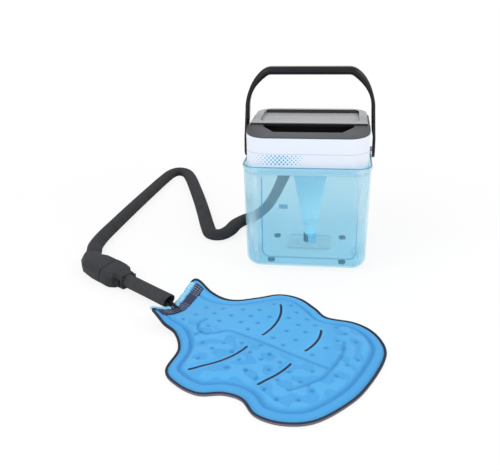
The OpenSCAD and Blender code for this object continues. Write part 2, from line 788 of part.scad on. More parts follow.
module hose_elbow() color(dark_body) {
    out_y = collar_hd + port_out;
    translate([port_x, 0, port_z]) difference() {
        union() {
            translate([0, collar_hd + 2.5, 0]) rotate([90, 0, 0])
                linear_extrude(2.5) oval_face(20, 14.5);
            translate([0, out_y, 0]) rotate([90, 0, 0])
                linear_extrude(port_out + 6.5) oval_face(15.4, 10.9);
            translate([0, out_y, -elbow_r]) rotate([0, -90, 0]) rotate_extrude(angle = 90, $fn = fine)
                translate([elbow_r, 0]) rotate(90) oval_face(15.4, 10.9);
            translate([0, out_y + elbow_r, hose_start_z - port_z])
                linear_extrude(port_z - elbow_r - hose_start_z) oval_face(16.6, 11.6);
        }
        translate([0, out_y + eps, 0]) rotate([90, 0, 0]) linear_extrude(30) elbow_ways(3.4);
        translate([0, out_y, -elbow_r]) rotate([0, -90, 0]) rotate_extrude(angle = 90, $fn = fine)
            translate([elbow_r, 0]) rotate(90) elbow_ways(3.4);
        translate([0, out_y + elbow_r, hose_start_z - port_z - 1])
            linear_extrude(port_z - elbow_r - hose_start_z + 1 + eps) elbow_ways(3.4);
    }
}

// Sideways direction of the hose at each point: level on the table, and turned
// a quarter on the way down from the elbow
function hose_spin(p) = let(t = tangents(p)) [for (i = [0 : len(p) - 1])
    let(level = unit(cross([0, 0, 1], t[i] + [-0.001, 0, 0])), k = min(i / hose_twist_end, 1))
    mix([1, 0, 0], level, k * k * (3 - 2 * k))];

module hose() color(foam) {
    p = smooth(hose_route, hose_steps);
    sweep(p, 12, hose_w / 2, hose_h / 2, hose_spin(p));
}

// ---- Coupling ---------------------------------------------------------------

module at_coupling() {
    translate(coupling_at) rotate([0, 0, coupling_turn]) children();
}

function soft_sign(v, e) = sign(v) * pow(abs(v), e);

// A rounded-box ring: its middle, the way it faces, and half its width and height
function soft_ring(x, y, turn, hw, hh, n = 20) = [for (k = [0 : n - 1])
    let(w = 360 * (k + 0.5) / n, s = hw * soft_sign(cos(w), 0.72), z = hh * soft_sign(sin(w), 0.72))
    [x - s * sin(turn), y + s * cos(turn), z]];

// Everything on the pad's side of the slanted seam, moved along x by shift
module beyond_seam(shift) {
    rotate([0, 0, seam_lean]) translate([shift, -100, -60]) cube([200, 200, 120]);
}

// What the release buttons need cut out of the housing
module button_pockets() {
    for (s = [-1, 1]) translate([button_x - 0.4, s > 0 ? 9.2 : -40, -button_hh - 0.4])
        cube([button_l + 0.8, 30.8, 2 * button_hh + 0.8]);
}

module coupling_hose_half() color(charcoal) {
    hw = coupling_w / 2;
    hh = coupling_h / 2;
    at_coupling() difference() {
        skin([for (s = [[-78, 16.5, -43, 16.6, 12.3], [-69, 8.6, -40, 17.6, 13],
            [-58, 2.6, -27, 20, 14.4], [-46, 0, -9, 24, hh - 0.3], [-33, 0, 0, hw - 2, hh],
            [-20, 0, 0, hw, hh], [14, 0, 0, hw, hh]])
            soft_ring(s[0], s[1], s[2], s[3], s[4])]);
        beyond_seam(-seam_gap / 2);
        for (y = [-nipple_y, nipple_y]) translate([-26, y, 0]) rotate([0, 90, 0])
            cylinder(60, r = nipple_r + 0.05, $fn = fine);
    }
}

module coupling_pad_half() color(charcoal) {
    hw = coupling_w / 2;
    hh = coupling_h / 2;
    at_coupling() difference() {
        skin([for (s = [[-14, hw, hh], [12, hw + 0.6, hh], [26, hw - 1, hh - 0.2],
            [36, hw - 6, hh - 1], [45, 18.6, 14], [57, 16, 13.4]])
            soft_ring(s[0], 0, 0, s[1], s[2])]);
        rotate([0, 0, seam_lean]) translate([-200 + seam_gap / 2, -100, -60])
            cube([200, 200, 120]);
        for (y = [-nipple_y, nipple_y]) translate([-30, y, 0]) rotate([0, 90, 0])
            cylinder(52, r = nipple_r + 0.02, $fn = fine);
        for (y = [-1, 1]) translate([20, y * tube_y, 0]) rotate([0, 90, 0])
            cylinder(60, r = tube_r + 0.02, $fn = fine);
        button_pockets();
    }
}

module coupling_nipples() color(pale_blue) {
    at_coupling() for (y = [-nipple_y, nipple_y]) translate([-20, y, 0]) rotate([0, 90, 0])
        difference() {
            cylinder(42, r = nipple_r, $fn = fine);
            translate([0, 0, -1]) cylinder(50, r = 1.8, $fn = fine);
            translate([0, 0, 6]) difference() {
                cylinder(1.9, r = 6, $fn = fine);
                translate([0, 0, -1]) cylinder(4, r = 2.7, $fn = fine);
            }
        }
}

module coupling_orings() color(rubber) {
    at_coupling() for (y = [-nipple_y, nipple_y]) translate([-13.05, y, 0])
        rotate([0, 90, 0]) rotate_extrude($fn = fine) translate([3.34, 0]) circle(0.64, $fn = 24);
}

// A ribbed thumb button that stands out of the housing's side
module release_button(s) color([0.05, 0.05, 0.06]) {
    at_coupling() translate([button_x, 0, 0]) {
        translate([0, s > 0 ? 12.8 : -19.2, -button_hh]) cube([button_l, 6.4, 2 * button_hh]);
        for (k = [0 : 3]) translate([2.2 + 3.4 * k, s * 19.2, -button_hh])
            cylinder(2 * button_hh, r = 1, $fn = 24);
    }
}

module release_button_left() release_button(1);

module release_button_right() release_button(-1);

module stub_sleeve() color(foam) {
    at_coupling() translate([stub_from, 0, 0]) rotate([0, 90, 0]) difference() {
        cylinder(stub_to - stub_from, r = stub_r, $fn = fine);
        translate([0, 0, -1]) cylinder(stub_to, r = stub_r - 3, $fn = fine);
    }
}

// Two water tubes from the coupling through the sleeve into the pad's neck
module pad_tubes() color([0.04, 0.04, 0.045]) {
    at_coupling() for (s = [-1, 1])
        round_sweep(smooth([for (p = pad_tube_route) [p.x, s * tube_y + p.y, p.z]], 3),
            tube_r, 10, [0, 1, 0]);
}

// ---- Pad --------------------------------------------------------------------

// Place in the neck's own frame: along it towards the pad, and across it
function neck_frame(p) = let(v = [p.x - neck_at.x, p.y - neck_at.y])
    [v.x * cos(neck_turn) + v.y * sin(neck_turn), v.y * cos(neck_turn) - v.x * sin(neck_turn)];

// How far the neck's wings curl the pad up off the table
function lift(p) = let(q = neck_frame(p))
    wing_h * pow(min(abs(q.y) / neck_half, 1.15), 1.5) * exp(-pow(q.x / 36, 2));

// Share of the crown that is left at a place, less towards the neck
function fullness(p) = 1 - 0.55 * exp(-pow(neck_frame(p).x / 55, 2));

// Height of the bladder's top over its underside, t of the way from edge to middle
function pad_thick(p, t) = edge_t + pad_crown * fullness(p) * pow(min(t / 0.3, 1), 0.45);

function pad_loop() = smooth_loop(pad_outline, pad_steps);

// A ring of the pad, t of the way in, its height over the lifted table given by h
function pad_ring(t, h) = [for (q = pad_loop())
    let(p = mix(q, pad_middle, t)) [p.x, p.y, lift(p) + h]];

function pad_top_ring(t) = [for (q = pad_loop())
    let(p = mix(q, pad_middle, t)) [p.x, p.y, lift(p) + pad_base + pad_thick(p, t)]];

module pad_bladder() color([0.35, 0.7, 0.93]) {
    difference() {
        pillow([pad_middle.x, pad_middle.y, pad_base],
            concat([for (t = under_rings) pad_ring(t, pad_base)],
                [for (t = pad_rings) pad_top_ring(t)]),
            [pad_middle.x, pad_middle.y, pad_base + pad_thick(pad_middle, 1)]);
        for (s = slits) strip(smooth(s, 4), slit_w, 0, 30);
        for (s = welds) strip(smooth(s, 4), 4, pad_base + edge_t + pad_crown - 2.6, 30);
    }
}

module pad_backing() color([0.1, 0.1, 0.13]) {
    n = len(under_rings);
    pillow([pad_middle.x, pad_middle.y, 0],
        concat([for (t = under_rings) pad_ring(t, 0)],
            [for (k = [n - 1 : -1 : 0]) pad_ring(under_rings[k], pad_base)]),
        [pad_middle.x, pad_middle.y, pad_base]);
}

// Piping round the pad's edge
module pad_edge() color([0.07, 0.07, 0.1]) {
    p = [for (q = pad_ring(0, 2.4)) q];
    n = len(p);
    loop_skin([for (i = [0 : n - 1])
        let(t = unit(p[(i + 1) % n] - p[(i + n - 1) % n]), side = unit(cross([0, 0, 1], t)),
            up = cross(t, side), out = p[i] - 0.6 * side)
        [for (k = [0 : 5]) out + piping_r * (cos(60 * k + 30) * side + sin(60 * k + 30) * up)]]);
}

// Point over the neck, a along and b across, h above the lifted underside
function neck_point(a, b, h) = let(
    p = [neck_at.x + a * cos(neck_turn) - b * sin(neck_turn),
        neck_at.y + a * sin(neck_turn) + b * cos(neck_turn)])
    [p.x, p.y, lift(p) + h];

// Webbing band sewn across the neck
module pad_neck_band() color([0.16, 0.2, 0.36]) {
    skin([for (k = [0 : 12]) let(b = mix(-neck_half + 3, neck_half - 3, k / 12),
        h = pad_base + pad_thick(neck_point(14, b, 0), 0.17))
        [neck_point(22, b, h - 2.6), neck_point(22, b, h + 1),
            neck_point(6, b, h + 1), neck_point(6, b, h - 2.6)]]);
}

// Rolled lip at the mouth of the neck
module pad_neck_lip() color([0.55, 0.82, 0.95]) {
    p = [for (k = [0 : 14]) let(b = mix(-neck_half + 1, neck_half - 1, k / 14))
        neck_point(-1.5, b, 4.4)];
    sweep(p, 8, 4.6, 3, [for (q = p) [cos(neck_turn), sin(neck_turn), 0]]);
}

// ---- Assembly ---------------------------------------------------------------

// Puts a piece, made round the tank's middle, in its place in the set
module placed() {
    translate([set_x, set_y, 0]) children();
}

placed() tank();
placed() rubber_feet();
placed() tank_gasket();
placed() lower_collar();
placed() upper_collar();
placed() top_cover();
placed() collar_screws();
placed() lid();
placed() lid_seal();
placed() lid_hinge_pin();
placed() handle();
placed() handle_pivots();
placed() pump_bridge();
placed() bridge_screws();
placed() riser();
placed() strainer();
placed() shaft_bearing();
placed() drive_shaft();
placed() impeller();
placed() motor();
placed() motor_cap();
placed() control_board();
placed() power_wire();
placed() power_inlet();
placed() outlet_tube();
placed() return_tube();
placed() hose_elbow();
placed() hose();
placed() coupling_hose_half();
placed() coupling_pad_half();
placed() coupling_nipples();
placed() coupling_orings();
placed() release_button_left();
placed() release_button_right();
placed() stub_sleeve();
placed() pad_tubes();
placed() pad_bladder();
placed() pad_backing();
placed() pad_edge();
placed() pad_neck_band();
placed() pad_neck_lip();
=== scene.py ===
import json
import math

import bmesh
import bpy
import numpy as np
from mathutils import Matrix, Vector

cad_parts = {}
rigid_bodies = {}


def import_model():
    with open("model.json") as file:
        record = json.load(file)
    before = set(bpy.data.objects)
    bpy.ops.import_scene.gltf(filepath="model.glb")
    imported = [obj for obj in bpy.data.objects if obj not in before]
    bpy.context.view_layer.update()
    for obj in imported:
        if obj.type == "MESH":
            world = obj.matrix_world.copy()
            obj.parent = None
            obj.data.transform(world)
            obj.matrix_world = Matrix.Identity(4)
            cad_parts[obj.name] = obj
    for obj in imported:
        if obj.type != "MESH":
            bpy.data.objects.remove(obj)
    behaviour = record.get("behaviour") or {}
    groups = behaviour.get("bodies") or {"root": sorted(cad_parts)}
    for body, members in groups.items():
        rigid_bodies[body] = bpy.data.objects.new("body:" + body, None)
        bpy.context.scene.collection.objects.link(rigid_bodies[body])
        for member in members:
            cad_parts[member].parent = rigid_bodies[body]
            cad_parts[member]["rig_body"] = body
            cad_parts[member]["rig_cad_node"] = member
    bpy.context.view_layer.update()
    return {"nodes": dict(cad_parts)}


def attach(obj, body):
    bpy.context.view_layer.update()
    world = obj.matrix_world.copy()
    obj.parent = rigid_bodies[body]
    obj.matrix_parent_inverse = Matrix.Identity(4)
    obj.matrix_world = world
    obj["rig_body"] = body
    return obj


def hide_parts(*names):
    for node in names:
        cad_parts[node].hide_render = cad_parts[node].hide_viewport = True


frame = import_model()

setAt = np.array([121.02, 202.24, 0.0])  # the machine's middle in the set, in mm
pieces = {}  # the new pieces by name; lengths below are in mm from the machine's middle


def smoothStep(value, low, high):
    # 0 below low, 1 above high, with the usual cubic between them
    share = np.clip((value - low) / (high - low), 0, 1)
    return share * share * (3 - 2 * share)


def unitRows(rows):
    return rows / np.maximum(np.linalg.norm(rows, axis=-1, keepdims=True), 1e-9)


def curveThrough(points, steps, closed=False):
    # Catmull-Rom: each span is the cubic through its two ends, its slopes half the chord of the neighbours
    p = np.array(points, float)
    n = len(p)
    spans = n if closed else n - 1
    i = np.repeat(np.arange(spans), steps)
    t = np.tile(np.arange(steps) / steps, spans)[:, None]
    pick = (lambda k: p[k % n]) if closed else (lambda k: p[np.clip(k, 0, n - 1)])
    a, b, c, d = pick(i - 1), pick(i), pick(i + 1), pick(i + 2)
    line = 0.5 * (2 * b + (c - a) * t + (2 * a - 5 * b + 4 * c - d) * t ** 2
                  + (3 * b - a - 3 * c + d) * t ** 3)
    return line if closed else np.vstack([line, p[-1:]])


def tangentsOf(line, closed=False):
    if closed:
        return unitRows(np.roll(line, -1, axis=0) - np.roll(line, 1, axis=0))
    return unitRows(np.vstack([line[1:2] - line[:1], line[2:] - line[:-2], line[-1:] - line[-2:-1]]))


def distanceTo(points, line, closed=False):
    # least distance in plan from each point to the straight pieces of a line
    a = line[:, :2] if closed else line[:-1, :2]
    b = np.roll(line[:, :2], -1, axis=0) if closed else line[1:, :2]
    best = np.full(len(points), 1e9)
    run = b - a
    size = np.maximum((run ** 2).sum(1), 1e-9)
    for first in range(0, len(points), 8000):
        p = points[first:first + 8000, None, :2]
        t = np.clip(((p - a) * run).sum(2) / size, 0, 1)[..., None]
        best[first:first + 8000] = np.sqrt((((p - a - t * run)) ** 2).sum(2)).min(1)
    return best


def ovalRing(count, halfWide, halfHigh, power=1.0):
    # superellipse: cosine and sine raised to a power, keeping their signs
    w = 2 * np.pi * (np.arange(count) + 0.5) / count
    c, s = np.cos(w), np.sin(w)
    return np.stack([halfWide * np.sign(c) * np.abs(c) ** power, halfHigh * np.sign(s) * np.abs(s) ** power], 1)


def meshPiece(name, points, faces, smooth=True):
    # points in mm from the machine's middle become an object at the origin, in metres
    mesh = bpy.data.meshes.new(name)
    mesh.from_pydata(((np.asarray(points, float) + setAt) / 1000).tolist(), [], [list(f) for f in faces])
    mesh.validate()
    mesh.polygons.foreach_set("use_smooth", np.full(len(mesh.polygons), smooth))
    piece = bpy.data.objects.new(name, mesh)
    bpy.context.scene.collection.objects.link(piece)
    pieces[name] = piece
    return piece


def gridFaces(rows, columns, wrapRows=False, wrapColumns=True, start=0):
    # quads between neighbouring rings of one grid of points
    r = np.arange(rows if wrapRows else rows - 1)
    c = np.arange(columns if wrapColumns else columns - 1)
    r, c = np.meshgrid(r, c, indexing="ij")
    r2, c2 = (r + 1) % rows, (c + 1) % columns
    quads = np.stack([r * columns + c, r * columns + c2, r2 * columns + c2, r2 * columns + c], -1)
    return (quads.reshape(-1, 4) + start).tolist()


def loft(name, rings, caps=True, wrapRows=False):
    # rings is rows by columns by 3, each ring anticlockwise seen from the last one
    rows, columns = rings.shape[:2]
    faces = gridFaces(rows, columns, wrapRows)
    points = rings.reshape(-1, 3)
    if caps and not wrapRows:
        points = np.vstack([points, rings[0].mean(0), rings[-1].mean(0)])
        k = np.arange(columns)
        low, high = rows * columns, rows * columns + 1
        faces += np.stack([np.full(columns, low), (k + 1) % columns, k], 1).tolist()
        top = (rows - 1) * columns
        faces += np.stack([np.full(columns, high), top + k, top + (k + 1) % columns], 1).tolist()
    return meshPiece(name, points, faces)


def sweepRings(line, section, sideways, closed=False, scale=None):
    # each point of the line carries the section, its first axis along sideways, its second along tangent x sideways
    t = tangentsOf(line, closed)
    side = unitRows(sideways - (sideways * t).sum(1, keepdims=True) * t)
    up = np.cross(t, side)
    size = np.ones((len(line), 1, 1)) if scale is None else np.asarray(scale)[:, None, None]
    cut = section[None] * size if section.ndim == 2 else section
    return line[:, None, :] + cut[..., 0:1] * side[:, None, :] + cut[..., 1:2] * up[:, None, :]


def keepAttribute(piece, name, values):
    piece.data.attributes.new(name, "FLOAT", "POINT").data.foreach_set(
        "value", np.asarray(values, np.float32))


def roundEdges(piece, width, segments, angle, keepSharp=False):
    # a bevel, in mm, of the edges sharper than the angle, then normals weighted by the size of the faces
    bevel = piece.modifiers.new("roundedEdges", "BEVEL")
    bevel.width, bevel.segments, bevel.limit_method = width / 1000, segments, "ANGLE"
    bevel.angle_limit = math.radians(angle)
    piece.modifiers.new("evenNormals", "WEIGHTED_NORMAL").keep_sharp = keepSharp


def softened(node, width, segments=3, angle=32):
    # a merged copy of a CAD node with its sharp edges rounded; it stands for the node
    source = frame["nodes"][node]
    copy = source.copy()
    copy.data = source.data.copy()
    copy.parent = None
    copy.name = node + "_soft"
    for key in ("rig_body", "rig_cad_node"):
        if key in copy:
            del copy[key]
    bpy.context.scene.collection.objects.link(copy)
    shape = bmesh.new()
    shape.from_mesh(copy.data)
    bmesh.ops.remove_doubles(shape, verts=shape.verts, dist=1e-6)
    bmesh.ops.dissolve_limit(shape, angle_limit=math.radians(0.6), verts=shape.verts, edges=shape.edges)
    for face in shape.faces:
        face.smooth = True
    for edge in shape.edges:
        edge.smooth = edge.calc_face_angle(0) < math.radians(angle)
    shape.to_mesh(copy.data)
    shape.free()
    roundEdges(copy, width, segments, angle, keepSharp=True)
    pieces[node] = copy
    return copy


class Flow:
    # one output of a node; sums and products of it are Math nodes of its material
    def __init__(self, paint, socket):
        self.paint, self.socket = paint, socket

    def step(self, low, high):
        # 0 below low and 1 above high, with a smooth rise between
        return self.paint.make("MapRange", {"interpolation_type": "SMOOTHSTEP"}, self, low, high, 0.0, 1.0)


def arithmetic(kind, flipped):
    def operated(self, *others):
        return self.paint.make("Math", {"operation": kind}, *((*others, self) if flipped else (self, *others)))
    return operated


for word, kind in {"add": "ADD", "sub": "SUBTRACT", "mul": "MULTIPLY", "truediv": "DIVIDE", "pow": "POWER"}.items():
    setattr(Flow, "__" + word + "__", arithmetic(kind, False))
    setattr(Flow, "__r" + word + "__", arithmetic(kind, True))
for word, kind in {"least": "MINIMUM", "most": "MAXIMUM", "size": "ABSOLUTE", "wave": "SINE",
                   "swing": "PINGPONG"}.items():
    setattr(Flow, word, arithmetic(kind, False))


class Paint:
    def __init__(self, name, **constants):
        self.material = bpy.data.materials.new(name)
        self.material.use_nodes = True
        self.tree = self.material.node_tree
        self.tree.nodes.clear()
        self.out = self.tree.nodes.new("ShaderNodeOutputMaterial")
        self.shader = self.tree.nodes.new("ShaderNodeBsdfPrincipled")
        self.surface = Flow(self, self.shader.outputs[0])
        self.show(self.surface)
        self.set(**constants)

    def show(self, shader):
        self.tree.links.new(shader.socket, self.out.inputs[0])

    def feed(self, target, value):
        if isinstance(value, Flow):
            self.tree.links.new(value.socket, target)
        elif value is not None:
            if hasattr(target.default_value, "__len__") and not hasattr(value, "__len__"):
                value = [value] * len(target.default_value)
            if hasattr(value, "__len__") and len(target.default_value) == 4 and len(value) == 3:
                value = (*value, 1.0)
            target.default_value = value

    def make(self, kind, settings=None, *values, output=0, **named):
        # any other node: its settings first, then the values or links of its sockets
        node = self.tree.nodes.new("ShaderNode" + kind)
        for key, value in (settings or {}).items():
            if key == "stops":
                ramp = node.color_ramp
                while len(ramp.elements) < len(value):
                    ramp.elements.new(1.0)
                for element, (place, colour) in zip(ramp.elements, value):
                    element.position, element.color = place, (*colour, 1.0)
            else:
                setattr(node, key, value)
        for index, value in enumerate(values):
            self.feed(node.inputs[index], value)
        for key, value in named.items():
            self.feed(node.inputs[key.replace("_", " ")], value)
        return Flow(self, node.outputs[output])

    def set(self, **sockets):
        # sockets of the Principled shader, named baseColor, coatWeight and so on
        for key, value in sockets.items():
            target = next(i for i in self.shader.inputs if i.name.replace(" ", "").lower() == key.lower())
            self.feed(target, value)
        return self

    def place(self):
        # object coordinates in mm from the machine's middle, as x, y and z
        flow = self.make("TexCoord", output=3)
        moved = self.make("VectorMath", {"operation": "SUBTRACT"}, flow, tuple(setAt / 1000))
        return self.axes(self.make("VectorMath", {"operation": "SCALE"}, moved, None, None, 1000.0))

    def turns(self):
        # the way that the surface faces, as x, y and z
        return self.axes(self.make("TexCoord", output=1))

    def axes(self, vector):
        node = self.tree.nodes.new("ShaderNodeSeparateXYZ")
        self.feed(node.inputs[0], vector)
        return [Flow(self, output) for output in node.outputs]

    def mix(self, share, first, second):
        node = self.tree.nodes.new("ShaderNodeMix")
        node.data_type = "RGBA"
        for index, value in ((0, share), (6, first), (7, second)):
            self.feed(node.inputs[index], value)
        return Flow(self, node.outputs[2])

    def noise(self, scale, detail, vector=None):
        # noise on object coordinates, or on the vector given
        vector = vector or self.make("TexCoord", output=3)
        return self.make("TexNoise", None, Vector=vector, Scale=scale, Detail=detail, Roughness=0.55)

    def kept(self, name):
        return self.make("Attribute", {"attribute_name": name}, output=2)

    def bumped(self, height, strength, distance):
        return self.make("Bump", None, Strength=strength, Distance=distance / 1000, Height=height)


def dress(piece, paint, body=None, stands=()):
    piece.data.materials.clear()
    piece.data.materials.append(paint.material)
    if body:
        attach(piece, body)
    if stands:
        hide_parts(*stands)
    return piece


def dressNode(node, paint):
    source = frame["nodes"][node]
    for slot in source.material_slots:
        slot.material = paint.material


cameraFacts = {"at": (58.25, -1174.93, 522.97), "yaw": -8.4, "pitch": -22.6, "roll": -1.32,
               "focalPixels": 645.4, "pictureWidth": 500}


def makeCamera(facts):
    # right and up from yaw and pitch, both turned by the roll about the view
    yaw, pitch, roll = (math.radians(facts[k]) for k in ("yaw", "pitch", "roll"))
    ahead = np.array([math.sin(yaw) * math.cos(pitch), math.cos(yaw) * math.cos(pitch), math.sin(pitch)])
    right = np.array([math.cos(yaw), -math.sin(yaw), 0.0])
    up = np.cross(right, ahead)
    right2 = math.cos(roll) * right + math.sin(roll) * up
    up2 = math.cos(roll) * up - math.sin(roll) * right
    matrix = np.eye(4)
    matrix[:3, 0], matrix[:3, 1], matrix[:3, 2] = right2, up2, -ahead
    matrix[:3, 3] = (np.array(facts["at"]) + setAt) / 1000
    lens = bpy.data.cameras.new("photoCamera")
    lens.sensor_width = 36
    lens.lens = facts["focalPixels"] / facts["pictureWidth"] * 36
    lens.clip_end = 50
    camera = bpy.data.objects.new("photoCamera", lens)
    bpy.context.scene.collection.objects.link(camera)
    camera.matrix_world = Matrix(matrix.tolist())
    bpy.context.scene.camera = camera


makeCamera(cameraFacts)
bpy.context.scene.view_settings.view_transform = "Standard"
print("camera set")


hoseFacts = {
    "halfWide": 15.0, "halfHigh": 10.5, "sides": 44, "twistEnd": 14,
    "route": [
        (-45, 119, 205.6), (-45, 119, 190), (-47, 120, 165), (-52, 122, 138), (-62, 125, 108),
        (-76, 128, 76), (-94, 131, 46), (-118, 136, 22), (-144, 130, 12), (-160, 102, 11),
        (-168, 66, 11), (-182, 42, 11), (-203, 45, 11), (-219, 84, 11), (-246, 170, 11),
        (-272, 250, 11), (-303, 340, 11), (-329, 412, 11), (-352, 460, 11), (-376, 475, 11),
        (-392, 455, 11), (-400, 400, 11), (-408, 300, 11), (-416, 190, 11), (-422, 90, 11),
        (-426, 10, 11), (-423, -40, 12), (-414, -72, 14.5), (-406, -103, 15.5)]}


def makeHose(facts):
    # an oval carried along the route, its wide axis turning from the elbow's to level on the table
    steps = 8
    line = curveThrough(facts["route"], steps)
    t = tangentsOf(line)
    level = unitRows(np.cross([0.0, 0.0, 1.0], t + [-0.001, 0, 0]))
    share = np.clip(np.arange(len(line)) / (facts["twistEnd"] / 2 * steps), 0, 1)[:, None]
    share = share * share * (3 - 2 * share)
    side = (1 - share) * np.array([1.0, 0, 0]) + share * level
    section = ovalRing(facts["sides"], facts["halfWide"], facts["halfHigh"], 0.86)
    piece = loft("hose_foam", sweepRings(line, section, side))
    length = np.linalg.norm(np.diff(line, axis=0), axis=1).sum() / 1000
    return piece, line, length


hose, hoseLine, hoseLength = makeHose(hoseFacts)
print("hose", round(hoseLength, 3))


finishes = {
    "tank": dict(baseColor=(0.30, 0.66, 0.86), roughness=0.12, ior=1.5, coatWeight=0.3),
    "white": dict(baseColor=(0.80, 0.84, 0.91), roughness=0.34),
    "visor": dict(baseColor=(0.066, 0.070, 0.080), roughness=0.42, specularIorLevel=0.3),
    "gloss": dict(baseColor=(0.0045, 0.0045, 0.006), roughness=0.24, specularIorLevel=0.35),
    "pale": dict(baseColor=(0.46, 0.76, 0.90), roughness=0.35),
    "black": dict(baseColor=(0.012, 0.012, 0.014), roughness=0.42, specularIorLevel=0.3),
    "steel": dict(baseColor=(0.6, 0.6, 0.62), roughness=0.32, metallic=1.0),
    "rubber": dict(baseColor=(0.012, 0.012, 0.013), roughness=0.7, specularIorLevel=0.3),
    "silicone": dict(baseColor=(0.66, 0.87, 0.93), roughness=0.5),
    "foam": dict(baseColor=(0.033, 0.034, 0.038), roughness=0.85, specularIorLevel=0.2),
    "soft": dict(baseColor=(0.030, 0.031, 0.036), roughness=0.6, specularIorLevel=0.2),
    "board": dict(baseColor=(0.03, 0.18, 0.08), roughness=0.4),
}


def grained(name, fineScale=900.0, strength=0.12, distance=0.15, vary=0.08):
    # moulded plastic: a fine grain in the bump, slight changes of tone and gloss
    facts = dict(finishes[name])
    paint = Paint(name + "Finish", **facts)
    grain = paint.noise(fineScale, 2.0)
    slow = paint.noise(18.0, 3.0)
    base = facts["baseColor"]
    dark, light = tuple(c * (1 - vary) for c in base), tuple(min(c * (1 + vary), 1) for c in base)
    paint.set(baseColor=paint.mix(slow, dark, light), roughness=facts["roughness"] + (grain - 0.5) * 0.12,
              normal=paint.bumped(grain, strength, distance))
    return paint


def seeThrough(paint, deep, opaque, light, dark):
    # two clear tints mixed by depth of colour, then mixed with the Principled surface by opacity
    clear, tinted = (paint.make("BsdfTransparent", None, tint) for tint in (light, dark))
    through = paint.make("MixShader", None, deep, clear, tinted)
    paint.show(paint.make("MixShader", None, opaque, through, paint.surface))


def tankFinish():
    # clear aqua moulding: deeper low down and where it is seen edge on, with a dark rounded line painted on the front,
    # a dark bead along the rim, painted pale highlight streaks up the corners and a small deeper blue patch on the rear
    # wall
    paint = Paint("tankFinish", **finishes["tank"])
    x, y, z = paint.place()
    facing = paint.make("LayerWeight", None, Blend=0.22, output=1)
    low = 1 - z.step(20, 190)
    # a dark rounded line painted on the front wall where the inner edges show through
    wide, tall = (x - 6.5).size() - 70.5, (z - 122.5).size() - 79.5
    corner = (wide.most(0.0) ** 2.0 + tall.most(0.0) ** 2.0) ** 0.5 + wide.most(tall).least(0.0) - 14.0
    line = (1 - corner.size().step(0.4, 1.5)) * (1 - y.step(-80, -70)) * (1 - z.step(180, 186))
    rim = z.step(199.5, 200.3)
    # a small deeper blue rounded patch painted on the rear wall
    rearPatch = (1 - ((x + 57.4).size() - 8.5).most((z - 56.0).size() - 4.2).step(0.0, 0.8)) * y.step(80, 90)
    at = paint.make("TexCoord", output=3)
    slow = paint.noise(9.0, 2.0)
    upright = paint.make("VectorMath", {"operation": "MULTIPLY"}, at, (1.0, 1.0, 0.16))
    # painted highlight: pale upright streaks up the side corners, also made a little more opaque
    corners = x.size().step(80, 92) * (1 - rim) * (1 - y.step(-10, 30))
    highlightStreak = paint.noise(34.0, 3.0, upright).step(0.28, 0.74) * corners
    base = paint.mix(low, (0.64, 0.88, 0.97), (0.42, 0.80, 0.97))
    base = paint.mix(line, base, (0.07, 0.34, 0.58))
    base = paint.mix(rim, base, (0.07, 0.26, 0.48))
    base = paint.mix(highlightStreak, base, (0.85, 0.93, 0.98))
    base = paint.mix(rearPatch, base, (0.08, 0.45, 0.75))
    opaque = 0.12 + facing * 0.12 + line * 0.45 + rim * 0.7 + highlightStreak * 0.34 + rearPatch * 0.45
    opaque = opaque + y.step(60, 90) * 0.05 + (slow - 0.5) * 0.08
    paint.set(baseColor=base, normal=paint.bumped(slow, 0.25, 1.5))
    seeThrough(paint, (low * 0.75 + (slow - 0.5) * 0.9).most(0.0).least(1.0), opaque.most(0.02).least(0.9),
               (0.86, 0.95, 0.975), (0.76, 0.915, 0.97))
    return paint


def stepFinish():
    # the same clear plastic, plainer, with its upright sides showing as an outline
    paint = Paint("stepFinish", **finishes["tank"])
    turnX, turnY, turnZ = paint.turns()
    slow = paint.noise(30.0, 2.0)
    x, y, z = paint.place()
    side = (1 - turnZ.size().step(0.3, 0.9)) * z.step(8.0, 8.6)
    paint.set(baseColor=paint.mix(side, (0.50, 0.82, 0.96), (0.10, 0.46, 0.72)), normal=paint.bumped(slow, 0.1, 0.5))
    seeThrough(paint, side, 0.01 + side * 0.26, (0.99, 0.997, 0.999), (0.95, 0.98, 0.99))
    return paint


def riserFinish():
    # milky pump tube, half clear above and brighter towards its foot, with a painted glow standing in for light through
    # it
    paint = Paint("riserFinish", **finishes["pale"])
    x, y, z = paint.place()
    low = 1 - z.step(60, 150)
    slow = paint.noise(20.0, 2.0)
    # painted glow: a pale blue emission, stronger towards the foot
    paint.set(baseColor=paint.mix(low, (0.56, 0.84, 0.93), (0.74, 0.94, 0.99)), emissionStrength=0.25,
              emissionColor=paint.mix(low, (0.22, 0.56, 0.72), (0.46, 0.80, 0.93)), normal=paint.bumped(slow, 0.1, 0.5))
    seeThrough(paint, 0.4, 0.72 + low * 0.1 + slow * 0.06, (0.92, 0.97, 0.985), (0.82, 0.93, 0.97))
    return paint


def strainerFinish():
    # smoky foot ring with one black intake flap, the ring with a painted glow
    paint = Paint("strainerFinish", **finishes["pale"])
    x, y, z = paint.place()
    flap = (x + 8.5).step(-0.8, 0.4) * (1 - x.step(-0.8, 0.4)) * (1 - y.step(20, 22)) * z.step(14, 15.5)
    flap = flap * (1 - (z + x * 0.8 - 27.0).step(-1.0, 1.0))
    grain = paint.noise(500.0, 2.0)
    # painted glow: a blue emission on the ring, none on the flap
    paint.set(baseColor=paint.mix(flap, (0.46, 0.80, 0.94), (0.004, 0.008, 0.012)), emissionStrength=0.3,
              emissionColor=paint.mix(flap, (0.22, 0.62, 0.86), (0.0, 0.0, 0.0)), normal=paint.bumped(grain, 0.1, 0.1))
    seeThrough(paint, 0.5, (0.55 + flap).least(1.0), (0.92, 0.97, 0.985), (0.84, 0.94, 0.97))
    return paint


